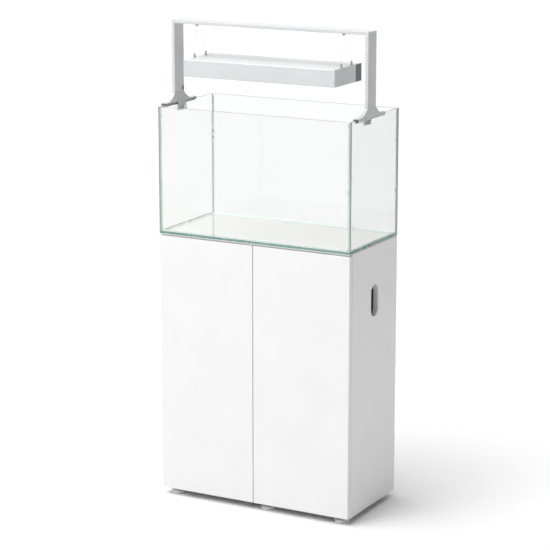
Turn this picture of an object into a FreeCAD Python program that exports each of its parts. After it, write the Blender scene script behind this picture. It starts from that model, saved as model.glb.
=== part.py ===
import FreeCAD, Part
import math
import os
import Sketcher
from FreeCAD import Placement, Rotation, Vector

# Rimless aquarium on a two-door cabinet, with a lamp hung from an arch that stands on the tank's side panes.
# Millimetres. +Z up, the front faces -Y, +X is to the right, and the origin is on the floor at the centre.

doc = FreeCAD.newDocument("aquarium_on_stand")
sheet = doc.addObject("Spreadsheet::Sheet", "Sizes")
pieces = []


class Size:
    """A length with its value and the spreadsheet formula that it comes from."""

    def __init__(self, value, formula):
        self.value = value
        self.formula = formula

    def __add__(self, other):
        other = as_size(other)
        return Size(self.value + other.value, f"({self.formula} + {other.formula})")

    def __sub__(self, other):
        other = as_size(other)
        return Size(self.value - other.value, f"({self.formula} - {other.formula})")

    def __mul__(self, other):
        other = as_size(other)
        return Size(self.value * other.value, f"({self.formula} * {other.formula})")

    def __truediv__(self, other):
        other = as_size(other)
        return Size(self.value / other.value, f"({self.formula} / {other.formula})")

    def __neg__(self):
        return Size(-self.value, f"(-1 * {self.formula})")


def as_size(number):
    if isinstance(number, Size):
        return number
    return Size(float(number), repr(float(number)))


def size(alias, value, note):
    """Adds a driving dimension to the spreadsheet."""
    row = len(sheet.getUsedCells()) // 2 + 1
    sheet.set(f"A{row}", note)
    sheet.set(f"B{row}", str(value))
    sheet.setAlias(f"B{row}", alias)
    return Size(float(value), f"Sizes.{alias}")


# ---------------------------------------------------------------- driving sizes

width = size("width", 600, "width of the cabinet and the tank")
depth = size("depth", 300, "depth of the cabinet, doors included, and of the tank")
cabinet_height = size("cabinet_height", 752, "height of the side panels")
tank_height = size("tank_height", 360, "height of the tank, base included")
foot_height = size("foot_height", 18, "floor to the underside of the cabinet")

board = size("board", 16, "thickness of the carcass panels")
door_board = size("door_board", 16, "thickness of the doors")
door_clearance = size("door_clearance", 2, "gap between the doors and the carcass")
door_gap = size("door_gap", 2, "gap between the two doors")
door_reveal = size("door_reveal", 2, "how far the doors stop short of the panels' ends")
edge_round = size("edge_round", 1, "rounding of the doors' and the shelf's edges")
fit_gap = size("fit_gap", 0.1, "clearance of fasteners in their bores")
overrun = size("overrun", 1, "how far a through bore's tool runs past the wall on each side")
run_gap = size("run_gap", 0.3, "clearance of curved faces that move past each other")

shelf_level = size("shelf_level", 360, "underside of the shelf above the cabinet's underside")
shelf_setback = size("shelf_setback", 20, "shelf's front edge behind the carcass's front")
shelf_play = size("shelf_play", 1, "gap beside and behind the shelf")
pin_radius = size("pin_radius", 2.5, "radius of the shelf pins")
pin_length = size("pin_length", 18, "length of the shelf pins")
pin_bore_depth = size("pin_bore_depth", 9, "depth of the shelf pins' bores")
pin_inset = size("pin_inset", 60, "shelf pins behind the carcass's front and before the back panel")

slot_width = size("slot_width", 45, "width of the hose slot in each side panel")
slot_height = size("slot_height", 91, "height of the hose slot, end to end")
slot_level = size("slot_level", 596, "slot's centre above the cabinet's underside")
slot_offset = size("slot_offset", 8, "slot's centre behind the middle of the depth")

cam_radius = size("cam_radius", 7.5, "radius of the cam locks")
cam_depth = size("cam_depth", 12, "depth of the cam locks")
cam_inset = size("cam_inset", 34, "cam's centre from the panel's end")
cam_bolt_radius = size("cam_bolt_radius", 3.5, "radius of the cam bolts")
cam_bolt_sink = size("cam_bolt_sink", 11, "depth of the cam bolts in the side panels")
cam_row_inset = size("cam_row_inset", 45, "cams from the front and back edges")
dowel_radius = size("dowel_radius", 4, "radius of the dowels")
dowel_length = size("dowel_length", 30, "length of the dowels")
dowel_sink = size("dowel_sink", 11, "depth of the dowels in the side panels")
dowel_inset = size("dowel_inset", 60, "end dowels from the panel's ends")

hinge_inset = size("hinge_inset", 100, "hinges from the doors' ends")
cup_radius = size("cup_radius", 17.5, "radius of the hinge cups")
cup_depth = size("cup_depth", 11.5, "depth of the hinge cups in the doors")
cup_wall = size("cup_wall", 1.5, "wall of the hinge cups")
cup_inset = size("cup_inset", 22.5, "cup's centre from the door's hinged edge")
flange_board = size("flange_board", 1, "thickness of the cup's flange")
flange_width = size("flange_width", 15, "width of the cup's flange")
flange_height = size("flange_height", 56, "height of the cup's flange")
arm_thickness = size("arm_thickness", 12, "height of the hinge arm's section")
arm_reach = size("arm_reach", 60, "length of the hinge arm")
arm_stand = size("arm_stand", 12, "how far the hinge arm stands off the side panel")
arm_nose = size("arm_nose", 20, "nose of the hinge arm off the side panel")
plate_board = size("plate_board", 2.5, "thickness of the hinge's mounting plate")
plate_height = size("plate_height", 50, "height of the hinge's mounting plate")
plate_length = size("plate_length", 18, "depth of the hinge's mounting plate")
plate_inset = size("plate_inset", 28, "mounting plate behind the carcass's front")

latch_offset = size("latch_offset", 24, "latch's axis from the middle of the cabinet")
latch_width = size("latch_width", 16, "width of the latch housing")
latch_height = size("latch_height", 18, "height of the latch housing")
latch_length = size("latch_length", 64, "length of the latch housing")
latch_setback = size("latch_setback", 1, "latch housing behind the carcass's front")
plunger_radius = size("plunger_radius", 4, "radius of the latch plunger")
plunger_length = size("plunger_length", 46, "length of the latch plunger")
plunger_bore_depth = size("plunger_bore_depth", 50, "depth of the plunger's bore")
strike_radius = size("strike_radius", 8, "radius of the strike plate on the door")
strike_board = size("strike_board", 1, "thickness of the strike plate")
strike_gap = size("strike_gap", 0.3, "gap between the plunger and the strike plate")
bumper_radius = size("bumper_radius", 4, "radius of the door bumpers")
bumper_board = size("bumper_board", 1.7, "thickness of the door bumpers")
bumper_inset = size("bumper_inset", 8, "bumpers from the door's top and free edges")

pad_radius = size("pad_radius", 21, "radius of a foot's pad")
pad_height = size("pad_height", 9, "height of a foot's pad")
pad_chamfer = size("pad_chamfer", 2, "chamfer round a foot's pad")
pad_hub_radius = size("pad_hub_radius", 9, "radius of a foot's hub")
pad_hub_height = size("pad_hub_height", 13, "top of a foot's hub above the floor")
foot_screw_radius = size("foot_screw_radius", 4, "radius of a foot's screw")
foot_screw_engagement = size("foot_screw_engagement", 14, "length of a foot's screw above the underside")
socket_radius = size("socket_radius", 8, "radius of a foot's socket")
socket_flange_radius = size("socket_flange_radius", 13, "radius of the socket's flange")
socket_flange_board = size("socket_flange_board", 2, "thickness of the socket's flange")
socket_depth = size("socket_depth", 13, "depth of the socket in the bottom panel")
foot_inset = size("foot_inset", 35, "outer feet's centres from the cabinet's sides")
foot_edge_inset = size("foot_edge_inset", 34, "feet's centres from the front and the back")
middle_foot_offset = size("middle_foot_offset", 32, "middle feet right of the centre")

mat_board = size("mat_board", 4, "thickness of the levelling mat")
mat_inset = size("mat_inset", 1, "mat's edge inside the tank's edge")
glass = size("glass", 6, "thickness of the tank's panes")
seam_leg = size("seam_leg", 4, "leg of the silicone seam's triangular section")

stand_offset = size("stand_offset", 37, "arch's centre before the middle of the depth")
stand_overhang = size("stand_overhang", 7, "outer face of a leg outside the tank's side")
stand_height = size("stand_height", 233, "top of the arch above the rim")
stand_depth = size("stand_depth", 50, "width of the arch's flat bar")
stand_board = size("stand_board", 9, "thickness of the arch's flat bar")
rim_foot_length = size("rim_foot_length", 175, "length of the arch's foot along the rim")
rim_foot_height = size("rim_foot_height", 28, "top of the foot above the rim")
rim_foot_web = size("rim_foot_web", 4, "thickness of the foot above the rim")
rim_foot_flange = size("rim_foot_flange", 5, "how far the foot's flange reaches below the rim")
gusset_spread = size("gusset_spread", 55, "how far the gusset runs out each side of the leg")
gusset_radius = size("gusset_radius", 60, "radius of the gusset's hollow flank")
liner_board = size("liner_board", 1, "thickness of the liner between foot and glass")
liner_gap = size("liner_gap", 0.3, "gap between the liner and the glass")
jaw_length = size("jaw_length", 40, "length of the clamp jaw")
jaw_drop = size("jaw_drop", 22, "how far the clamp jaw reaches below the rim")
jaw_board = size("jaw_board", 5, "thickness of the clamp jaw")
clamp_radius = size("clamp_radius", 2.5, "radius of the clamp screw")
clamp_drop = size("clamp_drop", 15, "clamp screw's axis below the rim")
clamp_travel = size("clamp_travel", 4, "how far the clamp screw backs out")
knob_radius = size("knob_radius", 6, "radius of the clamp screw's knob")
knob_length = size("knob_length", 6, "length of the clamp screw's knob")
corner_screw_radius = size("corner_screw_radius", 2, "radius of the arch's screws")
corner_screw_length = size("corner_screw_length", 22, "length of the arch's screws")
corner_screw_head = size("corner_screw_head", 3.8, "radius of the arch screws' heads")
corner_screw_pitch = size("corner_screw_pitch", 28, "spacing of a corner's two screws")
anchor_radius = size("anchor_radius", 4, "radius of the wire anchors")
anchor_height = size("anchor_height", 6, "height of the wire anchors")
anchor_half_spread = size("anchor_half_spread", 17, "wire anchors from the arch's centre")
clip_height = size("clip_height", 14, "height of the cord clip on the left leg")
clip_width = size("clip_width", 6, "width of the cord clip")
clip_board = size("clip_board", 2, "thickness of the cord clip")
clip_level = size("clip_level", 37, "cord clip's centre above the rim")
clip_setback = size("clip_setback", 6, "cord clip's centre from the leg's back edge")

lamp_length = size("lamp_length", 470, "length of the lamp")
lamp_depth = size("lamp_depth", 164, "depth of the lamp")
lamp_height = size("lamp_height", 48, "height of the lamp")
lamp_top_level = size("lamp_top_level", 133, "top of the lamp above the rim")
lamp_wall = size("lamp_wall", 2, "wall of the lamp's housing")
lamp_lip = size("lamp_lip", 5, "lip that carries the diffuser")
lamp_rail = size("lamp_rail", 5, "rail that carries the LED board")
lamp_rail_level = size("lamp_rail_level", 20, "top of the rails above the lamp's underside")
end_cap_board = size("end_cap_board", 2.5, "thickness of the lamp's end caps")
end_cap_round = size("end_cap_round", 1, "rounding of the end caps' edges")
diffuser_board = size("diffuser_board", 2, "thickness of the diffuser")
led_board_thickness = size("led_board_thickness", 2, "thickness of the LED board")
led_side = size("led_side", 5, "side of an LED")
led_thickness = size("led_thickness", 1.4, "thickness of an LED")
led_column_pitch = size("led_column_pitch", 36, "spacing of the LEDs along the lamp")
led_row_pitch = size("led_row_pitch", 36, "spacing of the LED rows")
cap_screw_radius = size("cap_screw_radius", 1.5, "radius of the end cap screws")
cap_screw_length = size("cap_screw_length", 9, "length of the end cap screws")
cap_screw_boss = size("cap_screw_boss", 7, "side of the bosses that take the end cap screws")
gripper_inset = size("gripper_inset", 6, "gripper's axis from the lamp's end")
gripper_half_spread = size("gripper_half_spread", 31, "grippers from the arch's centre")
gripper_radius = size("gripper_radius", 2.6, "radius of a wire gripper")
gripper_height = size("gripper_height", 11, "height of a wire gripper")
gripper_nut_radius = size("gripper_nut_radius", 4, "radius of a gripper's nut")
gripper_nut_height = size("gripper_nut_height", 2.5, "height of a gripper's nut")
wire_radius = size("wire_radius", 0.6, "radius of the suspension wires")
gland_radius = size("gland_radius", 6, "radius of the cord gland")
gland_length = size("gland_length", 12, "length of the cord gland behind the lamp")
gland_bore = size("gland_bore", 3, "radius of the cord gland's bore")
gland_sleeve = size("gland_sleeve", 4, "radius of the cord gland where it passes the lamp's wall")
gland_inset = size("gland_inset", 50, "cord gland from the lamp's left end")

LED_ROWS = 3
LED_COLUMNS = 12
DOWEL_LEVELS = 3

# ---------------------------------------------------------------- levels and planes

zero = as_size(0)
right = width / 2
left = -right
back = depth / 2
front = -back
carcass_front = front + door_board + door_clearance
door_back = front + door_board
carcass_low = foot_height
carcass_top = foot_height + cabinet_height
inner_left = left + board
inner_right = right - board
inner_back = back - board
inner_low = carcass_low + board
inner_top = carcass_top - board
tank_low = carcass_top + mat_board
glass_floor = tank_low + glass
rim = tank_low + tank_height
arch_front = -stand_offset - stand_depth / 2
arch_back = -stand_offset + stand_depth / 2
arch_top = rim + stand_height
stand_half_width = right + stand_overhang
arch_soffit = arch_top - stand_board
leg_inner = stand_half_width - stand_board
lamp_low = rim + lamp_top_level - lamp_height
lamp_top = rim + lamp_top_level


# ---------------------------------------------------------------- ways of making things

def bind(obj, prop, amount):
    obj.setExpression(prop, as_size(amount).formula)


def place(obj, x, y, z, rotation=None):
    if rotation is not None:
        obj.Placement = Placement(Vector(), rotation)
    for axis, amount in (("x", x), ("y", y), ("z", z)):
        bind(obj, f"Placement.Base.{axis}", amount)
    return obj


def block(name, xs, ys, zs):
    """A box from its low and high limits along each axis."""
    obj = doc.addObject("Part::Box", name)
    for prop, limits in (("Length", xs), ("Width", ys), ("Height", zs)):
        bind(obj, prop, as_size(limits[1]) - limits[0])
    return place(obj, xs[0], ys[0], zs[0])


TURNS = {
    "X": Rotation(Vector(0, 1, 0), 90),
    "Y": Rotation(Vector(1, 0, 0), -90),
    "Z": Rotation(),
}


def rod(name, axis, radius, length, x, y, z):
    """A cylinder that starts at x, y, z and runs along the named axis."""
    obj = doc.addObject("Part::Cylinder", name)
    bind(obj, "Radius", radius)
    bind(obj, "Height", length)
    return place(obj, x, y, z, TURNS[axis])


def group(name, members):
    obj = doc.addObject("Part::Compound", name)
    obj.Links = members
    return obj


def fuse(name, members):
    obj = doc.addObject("Part::MultiFuse", name)
    obj.Shapes = members
    return obj


def cut(name, base, tools):
    obj = doc.addObject("Part::Cut", name)
    obj.Base = base
    obj.Tool = tools[0] if len(tools) == 1 else group(name + "_tools", tools)
    return obj


def piece(obj, label):
    """Names a finished sub-part; its label is its file's name."""
    obj.Label = label
    pieces.append(obj)
    return obj


def new_sketch(body, name, plane, offset=None):
    sketch = body.newObject("Sketcher::SketchObject", name)
    support = next(f for f in body.Origin.OriginFeatures if f.Role == plane)
    sketch.AttachmentSupport = [(support, "")]
    sketch.MapMode = "FlatFace"
    if offset is not None:
        bind(sketch, "AttachmentOffset.Base.z", offset)
    return sketch


def hold_point(sketch, geometry, end, x, y):
    """Ties a point of the sketch to its place, by formula."""
    for kind, amount, axis in (("DistanceX", x, -2), ("DistanceY", y, -1)):
        if amount.value == 0:
            sketch.addConstraint(Sketcher.Constraint("PointOnObject", geometry, end, axis))
        else:
            number = sketch.addConstraint(Sketcher.Constraint(kind, -1, 1, geometry, end, amount.value))
            bind(sketch, f"Constraints[{number}]", amount)


def arc_through(start, end, radius):
    """The shorter arc, bulging to the left on the way from start to end."""
    chord = end - start
    normal = Vector(-chord.y, chord.x, 0).normalize()
    rise = math.sqrt(radius ** 2 - (chord.Length / 2) ** 2)
    centre = (start + end) * 0.5 - normal * rise
    first = math.atan2(end.y - centre.y, end.x - centre.x)
    last = math.atan2(start.y - centre.y, start.x - centre.x)
    if last < first:
        last += 2 * math.pi
    return Part.ArcOfCircle(Part.Circle(centre, Vector(0, 0, 1), radius), first, last)


def outline(sketch, corners, arcs=None):
    """A closed outline through corners; arcs gives the radius of each side that is an arc, by its number."""
    arcs = arcs or {}
    spots = [Vector(x.value, y.value, 0) for x, y in corners]
    ends = []
    for i, start in enumerate(spots):
        stop = spots[(i + 1) % len(spots)]
        if i in arcs:
            sketch.addGeometry(arc_through(start, stop, arcs[i].value))
            ends.append((2, 1))
        else:
            sketch.addGeometry(Part.LineSegment(start, stop))
            ends.append((1, 2))
    for i in range(len(spots)):
        after = (i + 1) % len(spots)
        sketch.addConstraint(Sketcher.Constraint("Coincident", i, ends[i][1], after, ends[after][0]))
    for i, (x, y) in enumerate(corners):
        hold_point(sketch, i, ends[i][0], x, y)
    for i, radius in arcs.items():
        number = sketch.addConstraint(Sketcher.Constraint("Radius", i, radius.value))
        bind(sketch, f"Constraints[{number}]", radius)


def rectangle(xs, ys):
    low_x, high_x = (as_size(v) for v in xs)
    low_y, high_y = (as_size(v) for v in ys)
    return [(low_x, low_y), (high_x, low_y), (high_x, high_y), (low_x, high_y)]


def pad(body, sketch, name, length, both_ways=False):
    feature = body.newObject("PartDesign::Pad", name)
    feature.Profile = sketch
    feature.SideType = "Symmetric" if both_ways else "One side"
    bind(feature, "Length", length)
    body.Tip = feature
    return feature


def pocket_through(body, sketch, name):
    feature = body.newObject("PartDesign::Pocket", name)
    feature.Profile = sketch
    feature.SideType = "Symmetric"
    feature.Type = "ThroughAll"
    body.Tip = feature
    return feature


def round_all(body, base, name, radius):
    feature = body.newObject("PartDesign::Fillet", name)
    feature.Base = (base, [])
    feature.UseAllEdges = True
    bind(feature, "Radius", radius)
    body.Tip = feature
    return feature


def slab(name, xs, ys, zs, rounding=None):
    """A flat board as a padded sketch, with its edges rounded where that is asked for."""
    body = doc.addObject("PartDesign::Body", name)
    sketch = new_sketch(body, name + "_outline", "XY_Plane")
    outline(sketch, rectangle((zero, as_size(xs[1]) - xs[0]), (zero, as_size(ys[1]) - ys[0])))
    blank = pad(body, sketch, name + "_blank", as_size(zs[1]) - zs[0])
    if rounding is not None:
        round_all(body, blank, name + "_edges", rounding)
    return place(body, xs[0], ys[0], zs[0])


def turned(name, profile):
    """A round piece about its own Z axis, from the half section that profile gives."""
    body = doc.addObject("PartDesign::Body", name)
    sketch = new_sketch(body, name + "_section", "XZ_Plane")
    outline(sketch, profile)
    feature = body.newObject("PartDesign::Revolution", name + "_turned")
    feature.Profile = sketch
    feature.ReferenceAxis = (sketch, ["V_Axis"])
    feature.Angle = 360
    body.Tip = feature
    return body


SIDES = (("left", -1), ("right", 1))


# ---------------------------------------------------------------- carcass

def fastener_rows():
    """Depths of the cam locks in the top and bottom panels."""
    return (carcass_front + cam_row_inset, inner_back - cam_row_inset)


def dowel_levels():
    span = cabinet_height - dowel_inset * 2
    return [carcass_low + dowel_inset + span * i / (DOWEL_LEVELS - 1) for i in range(DOWEL_LEVELS)]


def pin_depths():
    return (carcass_front + pin_inset, inner_back - pin_inset)


def side_panel(side, sign):
    name = side + "_side"
    body = doc.addObject("PartDesign::Body", name)
    sketch = new_sketch(body, name + "_outline", "YZ_Plane")
    outline(sketch, rectangle((carcass_front, back), (zero, cabinet_height)))
    pad(body, sketch, name + "_blank", board)
    opening = new_sketch(body, name + "_slot", "YZ_Plane")
    slot_outline(opening)
    pocket_through(body, opening, name + "_slot_cut")
    outer = left if sign < 0 else inner_right
    inner = inner_left if sign < 0 else inner_right
    place(body, outer, zero, carcass_low)
    tools = []
    for z in (carcass_low + board / 2, carcass_top - board / 2):
        for y in fastener_rows():
            tools.append(inward_bore(sign, inner, cam_bolt_radius + fit_gap, cam_bolt_sink + fit_gap, y, z))
    for z in dowel_levels():
        y = back - board / 2
        tools.append(inward_bore(sign, inner, dowel_radius + fit_gap, dowel_sink + fit_gap, y, z))
    for y in pin_depths():
        z = carcass_low + shelf_level - pin_radius
        tools.append(inward_bore(sign, inner, pin_radius + fit_gap, pin_bore_depth + fit_gap, y, z))
    return piece(cut(name + "_bored", body, tools), side + "_side_panel")


def inward_bore(sign, inner, radius, length, y, z):
    """A bore that runs outward into a side panel from its inner face."""
    start = inner - length if sign < 0 else inner
    return rod("bore", "X", radius, length, start, y, z)


def slot_outline(sketch):
    """Upright slot with round ends, drawn in the panel's own plane."""
    radius = slot_width / 2
    half = slot_height / 2 - radius
    centre = Vector(slot_offset.value, slot_level.value, 0)
    rise = Vector(0, half.value, 0)
    side = Vector(radius.value, 0, 0)
    axis = Vector(0, 0, 1)
    sketch.addGeometry(Part.ArcOfCircle(Part.Circle(centre + rise, axis, radius.value), 0, math.pi))
    sketch.addGeometry(Part.LineSegment(centre + rise - side, centre - rise - side))
    sketch.addGeometry(Part.ArcOfCircle(Part.Circle(centre - rise, axis, radius.value), math.pi, 2 * math.pi))
    sketch.addGeometry(Part.LineSegment(centre - rise + side, centre + rise + side))
    for one, other in (((0, 2), (1, 1)), ((1, 2), (2, 1)), ((2, 2), (3, 1)), ((3, 2), (0, 1))):
        sketch.addConstraint(Sketcher.Constraint("Tangent", one[0], one[1], other[0], other[1]))
    sketch.addConstraint(Sketcher.Constraint("Equal", 0, 2))
    number = sketch.addConstraint(Sketcher.Constraint("Radius", 0, radius.value))
    bind(sketch, f"Constraints[{number}]", radius)
    hold_point(sketch, 0, 3, slot_offset, slot_level + half)
    number = sketch.addConstraint(Sketcher.Constraint("DistanceY", -1, 1, 2, 3, (slot_level - half).value))
    bind(sketch, f"Constraints[{number}]", slot_level - half)
    sketch.addConstraint(Sketcher.Constraint("Vertical", 1))


def lying_panel(name, low, cam_face):
    """The top or bottom panel, bored for the cams, which open towards the cabinet's inside."""
    ys = (carcass_front, inner_back)
    blank = slab(name + "_blank_board", (inner_left, inner_right), ys, (low, low + board))
    tools = []
    for y in fastener_rows():
        for start, reach in ((inner_left, cam_inset), (inner_right - cam_inset, cam_inset)):
            tools.append(rod("bore", "X", cam_bolt_radius + fit_gap, reach, start, y, low + board / 2))
        for x in (inner_left + cam_inset, inner_right - cam_inset):
            tools.append(rod("bore", "Z", cam_radius + fit_gap, cam_depth, x, y, cam_face))
    return blank, tools


def foot_places():
    spots = []
    for row, y in (("front", front + foot_edge_inset), ("rear", back - foot_edge_inset)):
        for column, x in (
            ("left", left + foot_inset),
            ("middle", middle_foot_offset),
            ("right", right - foot_inset),
        ):
            spots.append((f"{row}_{column}_foot", x, y))
    return spots


def bottom_panel():
    blank, tools = lying_panel("bottom", carcass_low, inner_low - cam_depth)
    for name, x, y in foot_places():
        tools.append(rod("bore", "Z", socket_radius + fit_gap, socket_depth, x, y, carcass_low))
        tools.append(rod("bore", "Z", foot_screw_radius + run_gap, board, x, y, carcass_low))
    bored = cut("bottom_bored", blank, [fuse("bottom_bores", tools)])
    return piece(bored, "bottom_panel")


def top_panel():
    blank, tools = lying_panel("top", inner_top, inner_top)
    bored = cut("top_bored", blank, [fuse("top_bores", tools)])
    return piece(bored, "top_panel")


def back_panel():
    zs = (carcass_low, carcass_top)
    blank = slab("back_blank_board", (inner_left, inner_right), (inner_back, back), zs)
    reach = dowel_length - dowel_sink + fit_gap
    tools = []
    for z in dowel_levels():
        for start in (inner_left, inner_right - reach):
            tools.append(rod("bore", "X", dowel_radius + fit_gap, reach, start, back - board / 2, z))
    return piece(cut("back_bored", blank, tools), "back_panel")


def shelf():
    low = carcass_low + shelf_level
    body = slab(
        "shelf_board",
        (inner_left + shelf_play, inner_right - shelf_play),
        (carcass_front + shelf_setback, inner_back - shelf_play),
        (low, low + board),
        edge_round,
    )
    return piece(body, "shelf")


def shelf_pins():
    pins = []
    z = carcass_low + shelf_level - pin_radius
    for start in (inner_left - pin_bore_depth, inner_right + pin_bore_depth - pin_length):
        for y in pin_depths():
            pins.append(rod("shelf_pin", "X", pin_radius, pin_length, start, y, z))
    return piece(group("pins", pins), "shelf_pins")


def cam_fittings():
    cams = []
    bolts = []
    bolt_length = cam_bolt_sink + cam_inset - cam_radius - fit_gap
    low_row = (carcass_low + board / 2, inner_low - cam_depth)
    high_row = (carcass_top - board / 2, inner_top)
    for z, cam_low in (low_row, high_row):
        for y in fastener_rows():
            for x in (inner_left + cam_inset, inner_right - cam_inset):
                cams.append(rod("cam", "Z", cam_radius, cam_depth, x, y, cam_low))
            for start in (inner_left - cam_bolt_sink, inner_right + cam_bolt_sink - bolt_length):
                bolts.append(rod("cam_bolt", "X", cam_bolt_radius, bolt_length, start, y, z))
    piece(group("cams", cams), "cam_locks")
    piece(group("bolts", bolts), "cam_bolts")


def dowels():
    rods = []
    for z in dowel_levels():
        for start in (inner_left - dowel_sink, inner_right + dowel_sink - dowel_length):
            rods.append(rod("dowel", "X", dowel_radius, dowel_length, start, back - board / 2, z))
    return piece(group("dowel_set", rods), "back_dowels")


def foot_sockets():
    sockets = []
    bore = foot_screw_radius + run_gap
    low = -socket_flange_board
    profile = [
        (bore, low),
        (socket_flange_radius, low),
        (socket_flange_radius, zero),
        (socket_radius, zero),
        (socket_radius, socket_depth),
        (bore, socket_depth),
    ]
    for name, x, y in foot_places():
        sockets.append(place(turned(name + "_socket", profile), x, y, carcass_low))
    return piece(group("sockets", sockets), "foot_sockets")


# ---------------------------------------------------------------- levelling feet

def levelling_feet():
    pad_profile = [
        (zero, zero),
        (pad_radius - pad_chamfer, zero),
        (pad_radius, pad_chamfer),
        (pad_radius, pad_height - pad_chamfer),
        (pad_radius - pad_chamfer, pad_height),
        (pad_hub_radius, pad_height),
        (pad_hub_radius, pad_hub_height),
        (foot_screw_radius, pad_hub_height),
        (foot_screw_radius, pad_chamfer),
        (zero, pad_chamfer),
    ]
    for name, x, y in foot_places():
        base = place(turned(name + "_pad", pad_profile), x, y, zero)
        screw_length = carcass_low + foot_screw_engagement - pad_chamfer
        screw = rod(name + "_screw", "Z", foot_screw_radius, screw_length, x, y, pad_chamfer)
        piece(group(name + "_set", [base, screw]), name)


# ---------------------------------------------------------------- doors, hinges and latches

def hinge_levels():
    low = carcass_low + door_reveal + hinge_inset
    high = carcass_top - door_reveal - hinge_inset
    return (low, high)


def latch_x(sign):
    return latch_offset * sign


def latch_z():
    return inner_top - latch_height / 2


def door(side, sign):
    xs = (left, -door_gap / 2) if sign < 0 else (door_gap / 2, right)
    zs = (carcass_low + door_reveal, carcass_top - door_reveal)
    blank = slab(side + "_door_board", xs, (front, door_back), zs, edge_round)
    cup_x = left + cup_inset if sign < 0 else right - cup_inset
    bores = []
    for z in hinge_levels():
        start = door_back - cup_depth - fit_gap
        bores.append(rod("bore", "Y", cup_radius + fit_gap, cup_depth + fit_gap, cup_x, start, z))
    piece(cut(side + "_door_bored", blank, bores), side + "_door")

    cups = []
    for z in hinge_levels():
        bowl = rod(side + "_bowl", "Y", cup_radius, cup_depth, cup_x, door_back - cup_depth, z)
        flange = block(
            side + "_flange",
            (cup_x - flange_width / 2, cup_x + flange_width / 2),
            (door_back, door_back + flange_board),
            (z - flange_height / 2, z + flange_height / 2),
        )
        ring = rod(side + "_ring", "Y", cup_radius, flange_board, cup_x, door_back, z)
        hollow_depth = cup_depth + flange_board - cup_wall
        hollow_start = door_back - cup_depth + cup_wall
        hollow = rod("bore", "Y", cup_radius - cup_wall, hollow_depth, cup_x, hollow_start, z)
        solid = fuse(side + "_cup_solid", [bowl, flange, ring])
        cups.append(cut(side + "_cup", solid, [hollow]))
    piece(group(side + "_cups", cups), side + "_hinge_cups")

    strike = rod(side + "_strike", "Y", strike_radius, strike_board, latch_x(sign), door_back, latch_z())
    piece(strike, side + "_strike_plate")

    dots = []
    free_edge = (door_gap / 2 + bumper_inset) * sign
    for z in (carcass_low + board / 2, carcass_top - board / 2):
        dots.append(rod(side + "_bumper", "Y", bumper_radius, bumper_board, free_edge, door_back, z))
    piece(group(side + "_bumpers", dots), side + "_door_bumpers")


def hinge_arms(side, sign):
    """Mounting plates on the side panel, each with the arm that reaches towards the cup."""
    arms = []
    wall = inner_left if sign < 0 else inner_right
    reach = plate_board + arm_stand

    def off_wall(amount):
        return wall - amount * sign

    def low_high(a, b):
        return (off_wall(b), off_wall(a)) if sign > 0 else (off_wall(a), off_wall(b))

    for z in hinge_levels():
        start = carcass_front + plate_inset
        plate = block(
            side + "_plate",
            low_high(zero, plate_board),
            (start, start + plate_length),
            (z - plate_height / 2, z + plate_height / 2),
        )
        body = doc.addObject("PartDesign::Body", side + "_arm")
        sketch = new_sketch(body, side + "_arm_outline", "XY_Plane")
        nose = carcass_front + door_clearance / 2
        corners = [
            (off_wall(plate_board), nose + arm_reach),
            (off_wall(plate_board), nose + arm_nose),
            (off_wall(arm_stand), nose),
            (off_wall(arm_nose), nose),
            (off_wall(arm_nose), nose + arm_stand),
            (off_wall(reach), nose + arm_nose + arm_stand),
            (off_wall(reach), nose + arm_reach),
        ]
        outline(sketch, corners)
        pad(body, sketch, side + "_arm_pad", arm_thickness, both_ways=True)
        place(body, zero, zero, z)
        arms.append(fuse(side + "_hinge_arm", [plate, body]))
    piece(group(side + "_arms", arms), side + "_hinge_arms")


def latch(side, sign):
    x = latch_x(sign)
    start = carcass_front + latch_setback
    shell = block(
        side + "_latch_shell",
        (x - latch_width / 2, x + latch_width / 2),
        (start, start + latch_length),
        (inner_top - latch_height, inner_top),
    )
    bore = rod("bore", "Y", plunger_radius + run_gap, plunger_bore_depth, x, start, latch_z())
    piece(cut(side + "_latch", shell, [bore]), side + "_latch_housing")
    tip = door_back + strike_board + strike_gap
    plunger = rod(side + "_plunger", "Y", plunger_radius, plunger_length, x, tip, latch_z())
    piece(plunger, side + "_latch_plunger")


# ---------------------------------------------------------------- mat and tank

def mat():
    body = slab(
        "mat_sheet",
        (left + mat_inset, right - mat_inset),
        (front + mat_inset, back - mat_inset),
        (carcass_top, tank_low),
        edge_round,
    )
    piece(body, "levelling_mat")


def tank():
    piece(slab("base_glass", (left, right), (front, back), (tank_low, glass_floor)), "tank_base")
    long_walls = (("front", front), ("back", back - glass))
    for side, low in long_walls:
        name = f"tank_{side}_pane"
        piece(slab(side + "_glass", (left, right), (low, low + glass), (glass_floor, rim)), name)
    for side, low in (("left", left), ("right", right - glass)):
        name = f"tank_{side}_pane"
        ys = (front + glass, back - glass)
        piece(slab(side + "_glass", (low, low + glass), ys, (glass_floor, rim)), name)


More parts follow.
